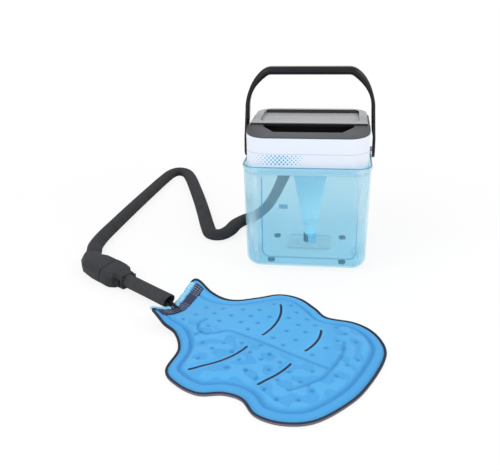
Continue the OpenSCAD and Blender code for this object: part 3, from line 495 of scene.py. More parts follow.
def collarFinish():
    # white moulding with a fading field of round dots on the front of the lower band
    facts = finishes["white"]
    paint = Paint("collarFinish", **facts)
    x, y, z = paint.place()
    grain = paint.noise(900.0, 2.0)
    step = 7.2
    nearA, nearB = ((way / step).swing(0.5) for way in (x + z, x - z))
    away = (nearA * nearA + nearB * nearB) ** 0.5
    fade = (1 - ((x + 47.0).size() / 46.0)).most(0.0)
    radius = 0.36 * fade ** 0.5
    dots = (1 - (away - radius).step(-0.05, 0.05)) * fade.step(0.02, 0.12)
    band = z.step(203.2, 203.6) * (1 - z.step(220.6, 221.0)) * (1 - y.step(-90, -88))
    seam = 1 - (z - 223.0).size().step(0.3, 0.9)
    colour = paint.mix(seam * 0.6, facts["baseColor"], (0.42, 0.50, 0.62))
    colour = paint.mix((1 - z.step(199.8, 201.6)) * 0.8, colour, (0.62, 0.84, 0.92))
    paint.set(baseColor=paint.mix(dots * band, colour, (0.01, 0.40, 0.68)),
              roughness=facts["roughness"] + (grain - 0.5) * 0.1, normal=paint.bumped(grain, 0.1, 0.1))
    return paint


def visorFinish():
    # satin charcoal, the scoop below the sloping front face painted near black as the shadow under the lid's front edge
    facts = finishes["visor"]
    paint = Paint("visorFinish", **facts)
    x, y, z = paint.place()
    face = 252.4 + (y + 96.0) * 0.14
    # painted shadow: the scoop under the front face, near black
    inside = (face - 0.5 - z).step(0.0, 0.5) * (y + 80.0).step(-1, 0)
    inside = inside * (1 - x.size().step(82.5, 83)) * (1 - y.step(-24, -22))
    grain = paint.noise(900.0, 2.0)
    slow = paint.noise(18.0, 3.0)
    base = paint.mix(slow, (0.060, 0.064, 0.074), (0.074, 0.078, 0.088))
    paint.set(baseColor=paint.mix(inside, base, (0.003, 0.003, 0.004)),
              roughness=0.4 + (grain - 0.5) * 0.12, normal=paint.bumped(grain, 0.12, 0.15))
    return paint


def lidFinish():
    # polished black, with a painted reflection of the bright surroundings in grey where its flat faces look up; walls
    # that face forwards or right stay black
    paint = Paint("lidFinish", **finishes["gloss"])
    x, y, z = paint.place()
    turnX, turnY, turnZ = paint.turns()
    # painted reflection: grey on upward faces and the left walls, darker grey near the border
    up = turnZ.step(0.5, 0.85) * z.step(257.0, 257.4)
    wallFront = 1 - turnY.step(-0.5, -0.4)
    wallRight = (1 - turnX.step(-0.6, -0.4)) * y.step(30, 34)
    leftWallReflection = turnX.step(0.4, 0.6) * (1 - x.step(60, 70)) * z.step(257.0, 257.4)
    slow = paint.noise(14.0, 2.0)
    reflectedGrey = paint.mix(slow, (0.355, 0.36, 0.38), (0.40, 0.405, 0.425))
    border = (x.size().step(88.5, 90.5) + y.step(84, 88)).least(1.0)
    reflectedGrey = paint.mix(border * 0.35, reflectedGrey, (0.28, 0.285, 0.30))
    colour = paint.mix((up + leftWallReflection * 0.9).least(1.0), finishes["gloss"]["baseColor"], reflectedGrey)
    colour = paint.mix((wallFront + wallRight).least(1.0), colour, (0.010, 0.010, 0.013))
    paint.set(baseColor=colour, roughness=0.2 + slow * 0.08)
    return paint


def foamFinish(name, facts, stretch=1.0):
    # closed-cell foam skin: fine pores and soft mottling
    paint = Paint(name, **facts)
    at = paint.make("TexCoord", output=3)
    pores = paint.make("TexVoronoi", None, Vector=at, Scale=700.0 * stretch, output=0)
    mottle = paint.noise(60.0, 4.0)
    base = facts["baseColor"]
    paint.set(baseColor=paint.mix(mottle, tuple(c * 0.7 for c in base), tuple(c * 1.5 for c in base)),
              normal=paint.bumped(pores + mottle, 0.35, 0.5))
    return paint


whitePaint = collarFinish()
tankPaint = tankFinish()
lidPaint = lidFinish()
visorPaint = visorFinish()
riserPaint = riserFinish()
strainerPaint = strainerFinish()
siliconePaint = grained("silicone")
glossPaint = grained("gloss", 400.0, 0.03, 0.05)
palePaint = grained("pale")
blackPaint = grained("black")
steelPaint = grained("steel", 1500.0, 0.05, 0.05)
rubberPaint = grained("rubber", 700.0, 0.2, 0.2)
softPaint = grained("soft", 1200.0, 0.15, 0.12)
hosePaint = foamFinish("hoseFinish", finishes["foam"])
boardPaint = grained("board", 500.0, 0.08)
print("finishes made")

dress(hose, hosePaint, "machine", ("hose",))


tankFacts = {"width": 228.0, "depth": 210.0, "rim": 201.5, "corner": 28.0, "floorRound": 22.0,
             "feet": 4.5, "cornerPoints": 18}


def roundRing(halfWide, halfDeep, radius, z, count):
    # four quarter circles at the corners of a rectangle, joined by straight runs
    q = np.repeat(np.arange(4), count + 1)
    a = np.pi / 2 * (q + np.tile(np.arange(count + 1) / count, 4))
    sx, sy = np.array([1, -1, -1, 1])[q], np.array([1, 1, -1, -1])[q]
    return np.stack([sx * (halfWide - radius) + radius * np.cos(a),
                     sy * (halfDeep - radius) + radius * np.sin(a), np.full(len(a), float(z))], 1)


def tankFlare(z):
    # how far the wall leans in from the rim's line
    return -5 + 3.4 * min(z / 190, 1) + (min((z - 190) / 5, 1) * 1.6 if z > 190 else 0)


def makeTank(facts):
    # outer rings up from the floor's rounded edge to the rim, inner rings down again
    def wallRing(z, inset, rounding=1.0, least=0.0):
        f = tankFlare(z)
        return roundRing(facts["width"] / 2 + f - inset, facts["depth"] / 2 + f * 1.4 - inset,
                         max(facts["corner"] + f - inset * rounding, least), z, facts["cornerPoints"])

    def floorRings(inset):
        r = facts["floorRound"] - inset
        turns = np.radians(np.linspace(0, 90, 13))
        return [wallRing(facts["feet"] + inset + r * (1 - math.cos(a)), r * (1 - math.sin(a)) + inset, 0.7, 6)
                for a in turns]

    rim = facts["rim"]
    outer = floorRings(0) + [wallRing(z, 0) for z in (60, 110, 160, 186, 190)]
    outer += [wallRing(190 + 5 * k, 0.25 * math.sin(math.pi * k)) for k in (0.25, 0.5, 0.75, 1)]
    bead = [wallRing(rim - 1.2 + 1.2 * math.sin(a), 1.2 * (1 - math.cos(a))) for a in np.radians([0, 30, 60, 90])]
    inside = [wallRing(z, inset) for z, inset in (
        (rim - 0.4, 3.2), (rim - 1.2, 3.6), (195, 3.6), (190, 2.2), (186.01, 2.2), (186, 6.2), (183, 6.2),
        (178, 3), (110, 3))]
    return loft("tank_shell", np.array(outer + bead + inside + floorRings(3)[::-1]))


def makeTankStep():
    # low plinth on the floor with rounded shoulders
    def ring(inset, z):
        return roundRing(43 - inset, 34 - inset, 9 - inset * 0.6, z, 10) + [1, 24, 0]
    rows = ((0, 6.6), (0, 10.2), (0.9, 11.6), (2.5, 12.5), (2.9, 12.5))
    return loft("tank_step", np.array([ring(inset, z) for inset, z in rows]))


dress(makeTank(tankFacts), tankPaint, "machine", ("tank",))
dress(makeTankStep(), stepFinish(), "machine")
print("tank")


for node, width, paint, body, slotName in (
        ("lower_collar", 0.6, whitePaint, "machine", "white_plastic"),
        ("upper_collar", 0.5, whitePaint, "machine", "white_plastic"),
        ("top_cover", 0.9, visorPaint, "machine", "black_plastic"),
        ("lid", 0.8, lidPaint, "lid", "gloss_black")):
    dress(softened(node, width), paint, body, (node,))
for paint, nodes in (
        (rubberPaint, "rubber_feet lid_seal coupling_orings"), (siliconePaint, "tank_gasket"),
        (steelPaint, "collar_screws lid_hinge_pin bridge_screws drive_shaft motor"), (whitePaint, "handle_pivots"),
        (palePaint, "pump_bridge shaft_bearing impeller motor_cap coupling_nipples"), (riserPaint, "riser"),
        (strainerPaint, "strainer"), (boardPaint, "control_board"),
        (blackPaint, "power_inlet hose_elbow release_button_left release_button_right")):
    for node in nodes.split():
        dressNode(node, paint)
print("head")


handleFacts = {
    "pivot": 209.5, "bar": 351.0, "shoulder": 80.0, "barHalf": 6.6, "barDeep": 11.0, "crease": 52.0, "rise": 5.0,
    "armIn": 113.2, "plateIn": 115.2, "armOut": 119.8, "leanFrom": 20.0, "armDeep": 12.0, "endRound": 15.6,
    "lean": 3.2, "bevel": 0.62}


def bailSection(halfThick, halfDeep, bevel):
    # a rectangle with each corner cut to a rounded bevel, depth first
    c = np.minimum(halfThick, halfDeep) * bevel
    t, d = halfThick, halfDeep
    points = []
    for x, y, turned in ((t, d, False), (-t, d, True), (-t, -d, False), (t, -d, True)):
        sx, sy = np.sign(x) * c, np.sign(y) * c
        for k in (0, 0.12, 0.5, 0.88, 1):
            q = 1 - k if turned else k
            points.append((x - sx * q, y - sy * (1 - q)))
    return points


def makeHandle(facts):
    # from the right pivot up the leaning arm, round a circular shoulder, over a parabolic bend and along the bar, then
    # mirrored: each ring has a middle, the direction that faces outwards, a half thickness and a half depth
    pivot, bar, shoulder = facts["pivot"], facts["bar"], facts["shoulder"]
    armOut, armDeep, end = facts["armOut"], facts["armDeep"], facts["endRound"]
    barHalf, barDeep = facts["barHalf"], facts["barDeep"]
    lean, crease = math.radians(facts["lean"]), math.radians(facts["crease"])
    shoulderZ = bar - shoulder * math.sin(crease) - facts["rise"]
    armHalf = (armOut - facts["armIn"]) / 2
    armX = (facts["armIn"] + armOut) / 2 - (shoulderZ - pivot - facts["leanFrom"]) * math.tan(lean)
    shoulderX = armX - shoulder
    rows = []
    plateHalf = (armOut - facts["plateIn"]) / 2
    plateX = (armOut + facts["plateIn"]) / 2
    for s in np.concatenate([-end * np.cos(np.linspace(0.04, np.pi / 2, 12)), [4, 8]]):
        deep = math.sqrt(max(end * end - s * s, 0.05)) if s < 0 else end - 0.07 * s
        rows.append((plateX, pivot + s, 0.0, plateHalf, deep))
    length = shoulderZ - pivot
    for s in np.linspace(14, length - 4, 16):
        half = plateHalf + (armHalf - plateHalf) * float(smoothStep(s, 22, 36))
        middle = (armOut - half) - max(s - facts["leanFrom"], 0) * math.tan(lean)
        rows.append((middle, pivot + s, -lean, half, armDeep + 2.4 * (1 - s / length)))

    def onShoulder(a):
        return shoulderX + shoulder * math.cos(a), shoulderZ + shoulder * math.sin(a)

    for k in np.linspace(0, 1, 22):
        a = math.radians(facts["crease"] * k)
        rows.append((*onShoulder(a), a, armHalf + (barHalf - armHalf) * float(smoothStep(k, 0.3, 1)),
                     armDeep + (barDeep - armDeep) * k))
    # a short bend joins the shoulder's last slope to the level bar
    start = np.array(onShoulder(crease))
    meet = np.array([start[0] - (bar - start[1]) * math.tan(crease), bar])
    level = meet - [7.0, 0.0]
    for k in np.linspace(0.15, 1, 7):
        x, z = (1 - k) ** 2 * start + 2 * k * (1 - k) * meet + k * k * level
        rows.append((x, z, crease + (math.pi / 2 - crease) * k, barHalf, barDeep))
    rows.append((level[0] - 25, bar, math.pi / 2, barHalf, barDeep))
    side = rows + [(0.0, bar, math.pi / 2, barHalf, barDeep)]
    side += [(-x, z, math.pi - w, t, d) for x, z, w, t, d in rows[::-1]]
    rings = []
    for x, z, w, t, d in side:
        cut = np.array(bailSection(t, d, facts["bevel"]))
        rings.append(np.stack([x + cut[:, 0] * math.cos(w), cut[:, 1], z + cut[:, 0] * math.sin(w)], 1))
    return loft("handle_bail", np.array(rings))


handle = makeHandle(handleFacts)
dress(handle, glossPaint, "handle", ("handle",))
print("handle")


tubeRoutes = {
    "outlet_tube": ([(-12.8, 62.6, 185), (-14.7, 67.8, 185.3), (-21, 76, 189), (-30, 79, 200), (-38, 78, 214),
                     (-39.5, 79, 229), (-39.5, 84, 238.5), (-39.5, 89.5, 240)], 4.6, (1, 0.2, 0.1)),
    "return_tube": ([(-50.5, 89.5, 240), (-50.5, 84, 238.5), (-50.5, 79, 229), (-51, 78, 214), (-52, 78, 198),
                     (-53, 78, 172)], 4.6, (1, 0.2, 0.1)),
    "power_wire": ([(45, 84, 240), (44, 81, 239), (39, 79, 232), (28, 77, 221), (16, 73, 215), (11, 64, 215.5),
                    (9.8, 53, 215.8), (9, 50.2, 215.8)], 1.6, (0.3, 0.1, 1))}
for node, (route, radius, side) in tubeRoutes.items():
    line = curveThrough(route, 8)
    rings = sweepRings(line, ovalRing(24, radius, radius), np.tile(np.array(side, float), (len(line), 1)))
    dress(loft(node + "_skin", rings), rubberPaint, "machine", (node,))


couplingFacts = {"at": (-352, -160, 15.5), "turn": -36.0, "seamLean": 17.0, "halfWide": 29.0, "halfHigh": 15.5,
                 "gap": 0.5, "edgeRound": 1.4, "tube": 3.6, "tubesApart": 4.2}


def fromCoupling(points, facts=couplingFacts):
    # turned about Z and moved from the coupling's own frame
    a = math.radians(facts["turn"])
    x, y, z = points[..., 0], points[..., 1], points[..., 2]
    return np.stack([facts["at"][0] + x * math.cos(a) - y * math.sin(a),
                     facts["at"][1] + x * math.sin(a) + y * math.cos(a), facts["at"][2] + z], -1)


def shellRings(stations, lean):
    # stations of place, sideways offset, turn, half width, half height and share of the seam's slant; each ring is
    # an octagon, a rectangle with its corners cut off, with extra points along its edges
    s = np.array(stations, float)
    cut = np.array([(1, 0), (1, 0.42), (0.74, 1), (0.37, 1), (0, 1)])
    quarter = np.vstack([cut[:-1] + (cut[1:] - cut[:-1]) * k for k in (0.0, 0.5)])
    quarter = quarter[np.argsort(np.arctan2(quarter[:, 1], quarter[:, 0]))]
    back = np.flip(quarter[1:], 0)
    ring = np.vstack([quarter, [[0, 1]], back * [-1, 1], [[-1, 0]], -quarter[1:], [[0, -1]], back * [1, -1]])
    turn = np.radians(s[:, 2:3])
    wide, high = s[:, 3:4] * ring[:, 0], s[:, 4:5] * ring[:, 1]
    x = s[:, 0:1] - wide * np.sin(turn) - wide * math.tan(math.radians(lean)) * s[:, 5:6]
    y = s[:, 1:2] + wide * np.cos(turn)
    return np.stack([x, y, high], -1)


def makeCoupling(facts):
    # two facetted shells: the hose half swells from the hose to the slanting seam, the pad half narrows to the stub
    hw, hh, lean = facts["halfWide"], facts["halfHigh"], facts["seamLean"]
    edge = facts["gap"] / 2
    hoseHalf = shellRings([
        (-78, 16.5, -43, 15.2, 11.0, 0), (-77.2, 16, -43, 16.6, 12.4, 0), (-69, 8.6, -40, 18, 13.2, 0),
        (-60, 3.2, -30, 20.5, 14.4, 0), (-46, 0, -9, hw - 3.4, hh - 0.4, 0.1), (-30, 0, 0, hw - 0.4, hh, 0.5),
        (-12, 0, 0, hw, hh, 1), (-1.6 - edge, 0, 0, hw, hh, 1), (-edge, 0, 0, hw - 1.6, hh - 1.2, 1)], lean)
    padHalf = shellRings([
        (edge, 0, 0, hw - 1.6, hh - 1.2, 1), (1.6 + edge, 0, 0, hw + 0.3, hh, 1), (13, 0, 0, hw + 0.6, hh, 0.7),
        (26, 0, 0, hw - 0.6, hh - 0.2, 0.1), (37, 0, 0, hw - 8, hh - 1, 0), (38.6, 0, 0, 17, 14, 0),
        (39.2, 0, 0, 16.2, 13.8, 0), (54.8, 0, 0, 15.6, 13.4, 0), (55.2, 0, 0, 16.2, 13.6, 0),
        (57.4, 0, 0, 14.2, 12.6, 0)], lean)
    shells = [loft(name, fromCoupling(rings)) for name, rings in (
        ("coupling_hose_half_skin", hoseHalf), ("coupling_pad_half_skin", padHalf))]
    for shell in shells:
        roundEdges(shell, facts["edgeRound"], 3, 14)
    return shells


hoseHalf, padHalf = makeCoupling(couplingFacts)
dress(hoseHalf, softPaint, "machine", ("coupling_hose_half",))
dress(padHalf, softPaint, "pad", ("coupling_pad_half",))
stubPaint = foamFinish("stubFinish", dict(finishes["foam"], baseColor=(0.04, 0.041, 0.045)))


def makeStub():
    # a foam tube: radius along the axis gives the outer wall, the rounded open end, the inner wall and a floor
    x = np.array([58, 70, 90, 110, 130, 150, 168.6, 169.6, 170, 169.6, 168.6, 160, 140, 100])
    r = np.array([12.4, 12.2, 12.1, 12, 12, 12.1, 12.2, 11.9, 11, 9.9, 9.4, 9.2, 9.2, 9.2])
    w = 2 * np.pi * np.arange(40) / 40
    slant = smoothStep(x, 130, 168)[:, None] * np.sin(w) * 4.0  # the open end leans over the neck
    grid = np.stack([x[:, None] + slant, r[:, None] * np.cos(w), r[:, None] * np.sin(w)], -1)
    return loft("stub_foam", fromCoupling(grid))


dress(makeStub(), stubPaint, "pad", ("stub_sleeve",))
for hand in (-1, 1):
    line = curveThrough([(24, 0, 0), (60, 0, 0), (110, 0, 0), (145, 0, -1.2), (162, 0, -3.4), (173, 0, -7),
                         (182, 0, -10), (190, 0, -10.8)], 8) + [0, hand * couplingFacts["tubesApart"], 0]
    section = ovalRing(24, couplingFacts["tube"], couplingFacts["tube"])
    rings = sweepRings(line, section, np.tile([0.0, 1, 0], (len(line), 1)))
    tube = loft("pad_tube_" + ("near" if hand < 0 else "far"), fromCoupling(rings))
    dress(tube, rubberPaint, "pad", ("pad_tubes",))
print("coupling")


padFacts = {
    "outline": [
        (-226, -312), (-207, -330), (-184, -342), (-168, -385), (-173, -438), (-150, -468),
        (-118, -485), (-85, -481), (-58, -491), (-36, -521), (0, -533), (40, -523),
        (82, -481), (106, -440), (127, -385), (131, -348), (116, -308), (88, -283),
        (45, -271), (25, -243), (-2, -212), (-36, -201), (-72, -216), (-110, -229),
        (-150, -223), (-183, -208), (-193, -234), (-204, -260), (-215, -286)],
    "middle": (-60, -350), "base": 1.4, "edge": 2.0, "neckAt": (-206, -260), "neckTurn": -26.0,
    "neckHalf": 54.0, "wing": 24.0, "around": 18, "dimpleStep": (30.0, 21.0),
    "under": (0.97, 0.6, 0.3, 0.12, 0.04, 0.0), "bandHalf": 52.0, "lipHalf": 53.0, "tape": (1.9, 2.9),
    "slits": [
        [(-31, -247), (-27, -272), (-32, -303), (-48, -343)], [(38, -322), (36, -344), (29, -361), (18, -380)],
        [(-68, -378), (-80, -398), (-96, -415), (-118, -430), (-140, -439)],
        [(-1, -416), (-11, -434), (-24, -450), (-40, -464)]],
    "welds": [
        [(-143, -303), (-152, -316), (-149, -334), (-135, -347), (-119, -346), (-103, -336), (-83, -344), (-38, -368),
         (1, -392), (51, -421)],
        [(72, -352), (71, -380), (60, -411), (45, -442), (23, -463), (1, -477)]]}


def neckFrame(p, facts=padFacts):
    a = math.radians(facts["neckTurn"])
    dx, dy = p[..., 0] - facts["neckAt"][0], p[..., 1] - facts["neckAt"][1]
    return dx * math.cos(a) + dy * math.sin(a), dy * math.cos(a) - dx * math.sin(a)


def lift(p, facts=padFacts):
    # the neck's wings: a V across the neck that dies away along it
    along, over = neckFrame(p)
    return facts["wing"] * np.minimum(np.abs(over) / facts["neckHalf"], 1.15) ** 1.5 * np.exp(-(along / 36) ** 2)


def drawnIn(loop, middle, shares):
    # copies of the outline, each drawn in towards the middle by its share
    return loop[None] + (middle - loop)[None] * np.asarray(shares)[:, None, None]


def onLift(plan, height):
    # plan points at a height over the neck's lift
    return np.concatenate([plan, (lift(plan) + height)[..., None]], -1)


def fullness(p):
    return 1 - 0.55 * np.exp(-(neckFrame(p)[0] / 55) ** 2)


def arcThrough(points):
    # centre, radius, and the two end points of the circle that fits a slit's points best
    p = np.array(points, float)
    rows = np.column_stack([2 * p, np.ones(len(p))])
    x, y, c = np.linalg.lstsq(rows, (p ** 2).sum(1), rcond=None)[0]
    return np.array([x, y]), math.sqrt(c + x * x + y * y), p[0], p[-1]


def arcLine(points, count=24):
    # points along that circle between the directions of its two ends
    centre, radius, first, last = arcThrough(points)
    a, b = (math.atan2(*(end - centre)[::-1]) for end in (first, last))
    b = a + (b - a + math.pi) % (2 * math.pi) - math.pi
    w = np.linspace(a, b, count)
    return centre + radius * np.stack([np.cos(w), np.sin(w)], 1)


padRandom = np.random.default_rng(7)


def patchField(p):
    # a sum of plane waves in chance directions, 16 to 34 mm long
    total = np.zeros(p.shape[0])
    for k in range(9):
        turn, wide, phase = padRandom.uniform(0, np.pi), padRandom.uniform(16, 34), padRandom.uniform(0, 6.28)
        total += np.cos(2 * np.pi * (p[:, 0] * math.cos(turn) + p[:, 1] * math.sin(turn)) / wide + phase)
    return total / 3


def makePad(facts):
    # rings of the outline drawn in towards the middle; height is an edge roll plus a slow crown, less grooves along
    # the border and the welds (bell curves of distance), less dimples, plus patches, all on the neck's lift
    loop = curveThrough(facts["outline"], facts["around"], closed=True)
    middle = np.array(facts["middle"], float)
    n = len(loop)
    t = np.concatenate([np.linspace(0, 0.16, 30), np.linspace(0.16, 0.97, 66)[1:]])
    flat = drawnIn(loop, middle, t).reshape(-1, 2)
    edge = distanceTo(flat, loop, closed=True)
    slit = np.min([distanceTo(flat, arcLine(s)) for s in facts["slits"]], axis=0)
    weld = np.min([distanceTo(flat, curveThrough(s, 6)) for s in facts["welds"]], axis=0)
    full = fullness(flat)
    height = facts["edge"] + full * (4.6 * smoothStep(edge, 0, 8) + 4.4 * smoothStep(edge, 15, 50))
    border = np.exp(-((edge - 17.5) / 2.6) ** 2)
    weldCut = np.exp(-(weld / 2.6) ** 2)
    slitCut = np.exp(-(slit / 4.5) ** 2)
    # raised patches on the half of the pad beyond the long weld
    side = (flat[:, 0] + 146) * -0.49 + (flat[:, 1] + 312) * -0.87
    region = np.maximum(smoothStep(side, -4, 14), smoothStep(flat[:, 0], 40, 70))
    patch = smoothStep(patchField(flat), -0.28, -0.04) * region * smoothStep(edge, 21, 26) * smoothStep(slit, 4, 11)
    # dimples on a jittered, staggered grid
    stepX, stepY = facts["dimpleStep"]
    gx, gy = np.meshgrid(np.arange(-8, 9), np.arange(-11, 12))
    seeds = np.stack([gx.ravel() * stepX + (gy.ravel() % 2) * stepX / 2 + middle[0], gy.ravel() * stepY + middle[1]], 1)
    seeds += padRandom.uniform(-3.2, 3.2, seeds.shape)
    clear = distanceTo(seeds, loop, True) > 27
    for line in facts["slits"] + facts["welds"]:
        clear &= distanceTo(seeds, curveThrough(line, 6)) > 8
    seeds = seeds[clear]
    near = np.full(len(flat), 1e9)
    for seed in seeds:
        near = np.minimum(near, ((flat - seed) ** 2).sum(1))
    near = np.sqrt(near)
    dimple = np.exp(-(near / 3.0) ** 2)
    height -= full * (3.4 * border + 2.8 * weldCut) + 2.2 * dimple * full
    height += 1.5 * patch
    height = np.maximum(height - 0.8 * slitCut * full, 0.8)
    # small puckers beside the neck's band
    along, over = neckFrame(flat)
    pucker = np.exp(-((along - 27) / 9) ** 2) * np.cos(over * 0.9)
    height += 0.5 * pucker * smoothStep(edge, 2, 8)
    z = lift(flat) + facts["base"] + height
    top = np.concatenate([flat, z[:, None]], 1).reshape(len(t), n, 3)
    low = onLift(drawnIn(loop, middle, facts["under"]), facts["base"])
    piece = loft("pad_blue", np.concatenate([low, top], 0))
    count = len(piece.data.vertices)
    lowCount = len(facts["under"]) * n

    def filled(values, rest):
        out = np.full(count, float(rest))
        out[lowCount:lowCount + len(flat)] = values
        return out

    for name, values in {"groove": np.maximum(border * 0.8, weldCut), "patch": patch, "region": region,
                         "dimple": dimple}.items():
        keepAttribute(piece, name, filled(values, 0))
    return piece, loop


def apart(x, y, fromX, fromY):
    # distance in plan from one fixed point
    return ((x - float(fromX)) * (x - float(fromX)) + (y - float(fromY)) * (y - float(fromY))) ** 0.5


def slitField(x, y, facts=padFacts):
    # least distance to the slits: distance to the circle less its radius, joined with how far past the ends
    best = None
    for points in facts["slits"]:
        centre, radius, first, last = arcThrough(points)
        away = apart(x, y, *centre) - radius
        beyond = (apart(x, y, *(first + last) / 2) - float(np.linalg.norm(last - first)) / 2).most(0.0)
        away = (away * away + beyond * beyond) ** 0.5
        best = away if best is None else best.least(away)
    return best


def padFinish():
    # coated blue fabric: lighter on the raised patches, painted shade in the grooves and dimples, a painted highlight
    # beside the slits, navy down the slits
    paint = Paint("padFinish", baseColor=(0.11, 0.45, 0.83), roughness=0.55, sheenWeight=0.08, specularIorLevel=0.3)
    x, y, z = paint.place()
    weave = paint.noise(1400.0, 2.0)
    slow = paint.noise(22.0, 3.0)
    groove, patch, region, dimple = (paint.kept(k) for k in ("groove", "patch", "region", "dimple"))
    colour = paint.mix(slow, (0.070, 0.38, 0.74), (0.092, 0.42, 0.80))
    deep = region * (1 - patch)
    colour = paint.mix(deep * 0.5, colour, (0.040, 0.30, 0.66))
    # painted shade: darker blue in the grooves and dimples
    colour = paint.mix((groove * 0.62 + dimple * 1.05).least(0.95), colour, (0.024, 0.21, 0.50))
    slit = slitField(x, y)
    # painted highlight: a lighter band along the rolled edge of each slit
    rolled = 1 - (slit - 4.2).size().step(0.4, 1.8)
    colour = paint.mix(rolled * 0.25, colour, (0.16, 0.50, 0.85))
    colour = paint.mix(1 - slit.step(1.6, 2.3), colour, (0.006, 0.016, 0.05))
    paint.set(baseColor=colour, roughness=0.5 + slow * 0.12, normal=paint.bumped(weave + slow, 0.25, 0.3))
    return paint


def makeBacking(facts, loop):
    # the outline's rings again, once at the table and once under the pad
    middle = np.array(facts["middle"], float)

    def layer(shares, height):
        return onLift(drawnIn(loop, middle, shares), height)

    under = facts["under"]
    return loft("pad_under", np.concatenate([layer(under, 0.0), layer(under[::-1], facts["base"])], 0))


def makeBinding(facts, loop):
    # a folded tape round the edge: an upright oval carried along the outline
    p = onLift(loop, 3.1)
    t = tangentsOf(p, True)
    side = unitRows(np.cross([0.0, 0.0, 1.0], t))
    section = ovalRing(14, *facts["tape"], 0.85)
    return loft("pad_binding", sweepRings(p - 0.5 * side, section, side, closed=True), wrapRows=True)


def bindingFinish():
    # woven tape: navy black above, dusty mauve below
    paint = Paint("bindingFinish", roughness=0.75)
    x, y, z = paint.place()
    weave = paint.noise(900.0, 2.0)
    nearSide = 1 - (y + x * 0.35 + 372.0).step(-40.0, 30.0)
    lower = (1 - z.step(3.9, 4.9)) * nearSide
    colour = paint.mix(lower, (0.012, 0.016, 0.035), (0.17, 0.155, 0.22))
    paint.set(baseColor=paint.mix(weave * 0.3, colour, (0.02, 0.02, 0.04)), normal=paint.bumped(weave, 0.4, 0.3))
    return paint


def overNeck(along, over, h, facts=padFacts):
    a = math.radians(facts["neckTurn"])
    p = np.stack([facts["neckAt"][0] + along * math.cos(a) - over * math.sin(a),
                  facts["neckAt"][1] + along * math.sin(a) + over * math.cos(a)], -1)
    return onLift(p, h)


def makeBand(facts):
    # webbing across the neck, thin, following the pad's top
    over = np.linspace(-facts["bandHalf"], facts["bandHalf"], 90)
    along = np.array([6.0, 6.0, 8, 11, 14, 17, 20, 22, 22])
    rise = np.array([3.0, 6.4, 7.1, 7.2, 7.2, 7.2, 7.1, 6.4, 3.0])
    grid = overNeck(np.tile(along, (90, 1)), np.tile(over[:, None], (1, 9)), np.tile(rise, (90, 1)))
    grid[..., 2] += 0.35 * np.sin(over * 0.55)[:, None] * (rise > 4)
    piece = loft("neck_band", grid[::-1])
    count = len(piece.data.vertices)
    keepAttribute(piece, "over", np.concatenate([np.repeat(over[::-1], 9), [0, 0]])[:count])
    keepAttribute(piece, "along", np.concatenate([np.tile(along, 90), [14, 14]])[:count])
    return piece


def bandFinish():
    # navy webbing with rows of pale stitches across it
    paint = Paint("bandFinish", roughness=0.7)
    over, along = paint.kept("over"), paint.kept("along")
    weave = paint.noise(1100.0, 2.0)
    ticks = 1 - (over.swing(3.6) - 1.8).size().step(0.25, 0.6)
    groups = (over * 0.17 + 0.8).wave().step(-0.2, 0.25)
    rows = 1 - ((along - 6.0).swing(5.3) - 2.6).size().step(1.5, 2.1)
    mark = ticks * groups * rows * weave.step(0.38, 0.55)
    colour = paint.mix(weave, (0.010, 0.018, 0.05), (0.035, 0.05, 0.12))
    paint.set(baseColor=paint.mix(mark * 0.75, colour, (0.55, 0.62, 0.74)), normal=paint.bumped(weave, 0.5, 0.35))
    return paint


def makeLip(facts):
    # rolled and puckered lip along the neck's mouth
    over = np.linspace(-facts["lipHalf"], facts["lipHalf"], 150)
    line = overNeck(-1.5 + 0.7 * np.sin(over * 0.42), over, 4.6 + 0.5 * np.sin(over * 0.9 + 1))
    a = math.radians(facts["neckTurn"])
    side = np.tile([math.cos(a), math.sin(a), 0.0], (len(over), 1))
    swell = 1 + 0.10 * np.sin(over * 1.3) + 0.06 * np.sin(over * 2.9 + 2)
    swell *= np.minimum(1, np.sqrt(np.maximum(54 - np.abs(over), 0.05) / 5))
    return loft("neck_lip", sweepRings(line, ovalRing(22, 5.2, 3.1, 0.9), side, scale=swell))


def lipFinish():
    # the pad's film, with a paler blue mixed in by slow noise as painted highlights on its rolls and creases
    paint = Paint("lipFinish", roughness=0.5)
    slow, fine = paint.noise(120.0, 3.0), paint.noise(1400.0, 2.0)
    # painted highlights: slow noise mixes in a paler blue
    paint.set(baseColor=paint.mix(slow, (0.14, 0.50, 0.78), (0.38, 0.74, 0.93)),
              normal=paint.bumped(slow + fine * 0.3, 0.5, 0.8))
    return paint


def knitFinish():
    # brushed black knit: small loops in the bump over slow changes of tone
    paint = Paint("knitFinish", roughness=0.9, sheenWeight=0.3)
    at = paint.make("TexCoord", output=3)
    loops = paint.make("TexVoronoi", None, Vector=at, Scale=650.0, output=0)
    slow = paint.noise(30.0, 3.0)
    paint.set(baseColor=paint.mix(slow, (0.012, 0.013, 0.018), (0.022, 0.024, 0.032)),
              normal=paint.bumped(loops, 0.5, 0.4))
    return paint


padBlue, padLoop = makePad(padFacts)
dress(padBlue, padFinish(), "pad", ("pad_bladder",))
dress(makeBacking(padFacts, padLoop), knitFinish(), "pad", ("pad_backing",))
dress(makeBinding(padFacts, padLoop), bindingFinish(), "pad", ("pad_edge",))
dress(makeBand(padFacts), bandFinish(), "pad", ("pad_neck_band",))
dress(makeLip(padFacts), lipFinish(), "pad", ("pad_neck_lip",))
print("pad")


stageFacts = {"floor": 3.2, "worldPlain": 0.80, "floorGlow": 0.84, "aim": (0, 0.1, 0.1),
              "key": ((-1.1, -1.2, 1.9), 1.6, 20.0), "fill": ((1.6, -0.6, 1.4), 1.4, 9.0)}


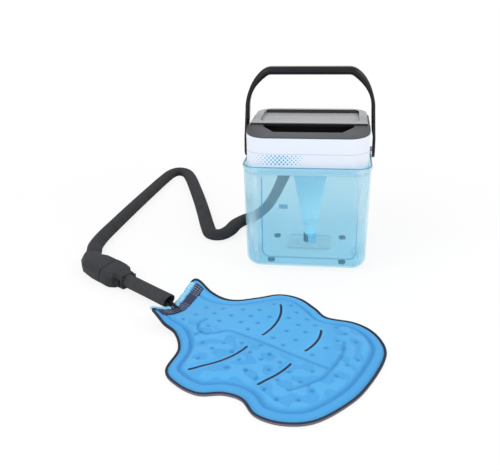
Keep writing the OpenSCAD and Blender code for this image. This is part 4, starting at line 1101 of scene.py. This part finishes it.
def rayShare(tree, *names):
    # 1 for any of the named kinds of ray
    path = tree.nodes.new("ShaderNodeLightPath")
    share = path.outputs[names[0]]
    for name in names[1:]:
        either = tree.nodes.new("ShaderNodeMath")
        either.operation = "MAXIMUM"
        tree.links.new(share, either.inputs[0])
        tree.links.new(path.outputs[name], either.inputs[1])
        share = either.outputs[0]
    return share


def makeStage(facts):
    # a pale floor that turns to plain white away from the object, under a white sky
    bpy.ops.mesh.primitive_plane_add(size=2 * facts["floor"], location=(0, 0, -0.0004))
    floor = bpy.context.object
    floor.name = "floor"
    paint = Paint("floorFinish", baseColor=(0.92, 0.92, 0.92), roughness=0.9, specularIorLevel=0.0)
    glow = paint.make("Emission", None, (1, 1, 1))
    away = paint.make("VectorMath", {"operation": "LENGTH"}, paint.make("TexCoord", output=3), output=1)
    plain = facts["floorGlow"] + away.step(0.55, 1.1) * (1 - facts["floorGlow"])
    seen = Flow(paint, rayShare(paint.tree, "Is Camera Ray", "Is Transmission Ray")) * plain
    paint.show(paint.make("MixShader", None, seen, paint.surface, glow))
    floor.data.materials.append(paint.material)
    world = bpy.data.worlds.new("softWorld")
    world.use_nodes = True
    bpy.context.scene.world = world
    sky = world.node_tree
    sky.nodes.clear()
    out, mixer = sky.nodes.new("ShaderNodeOutputWorld"), sky.nodes.new("ShaderNodeMixShader")
    for index, strength in ((1, facts["worldPlain"]), (2, 1.0)):
        back = sky.nodes.new("ShaderNodeBackground")
        back.inputs[0].default_value, back.inputs[1].default_value = (1, 1, 1, 1), strength
        sky.links.new(back.outputs[0], mixer.inputs[index])
    sky.links.new(rayShare(sky, "Is Camera Ray", "Is Transmission Ray"), mixer.inputs[0])
    sky.links.new(mixer.outputs[0], out.inputs[0])


def areaLamp(name, aim, at, size, power):
    lamp = bpy.data.lights.new(name, "AREA")
    lamp.size, lamp.energy = size, power
    thing = bpy.data.objects.new(name, lamp)
    bpy.context.scene.collection.objects.link(thing)
    thing.location = at
    thing.rotation_euler = (Vector(aim) - Vector(at)).to_track_quat("-Z", "Y").to_euler()


makeStage(stageFacts)
for kind in ("key", "fill"):
    areaLamp(kind + "Lamp", stageFacts["aim"], *stageFacts[kind])
print("stage")
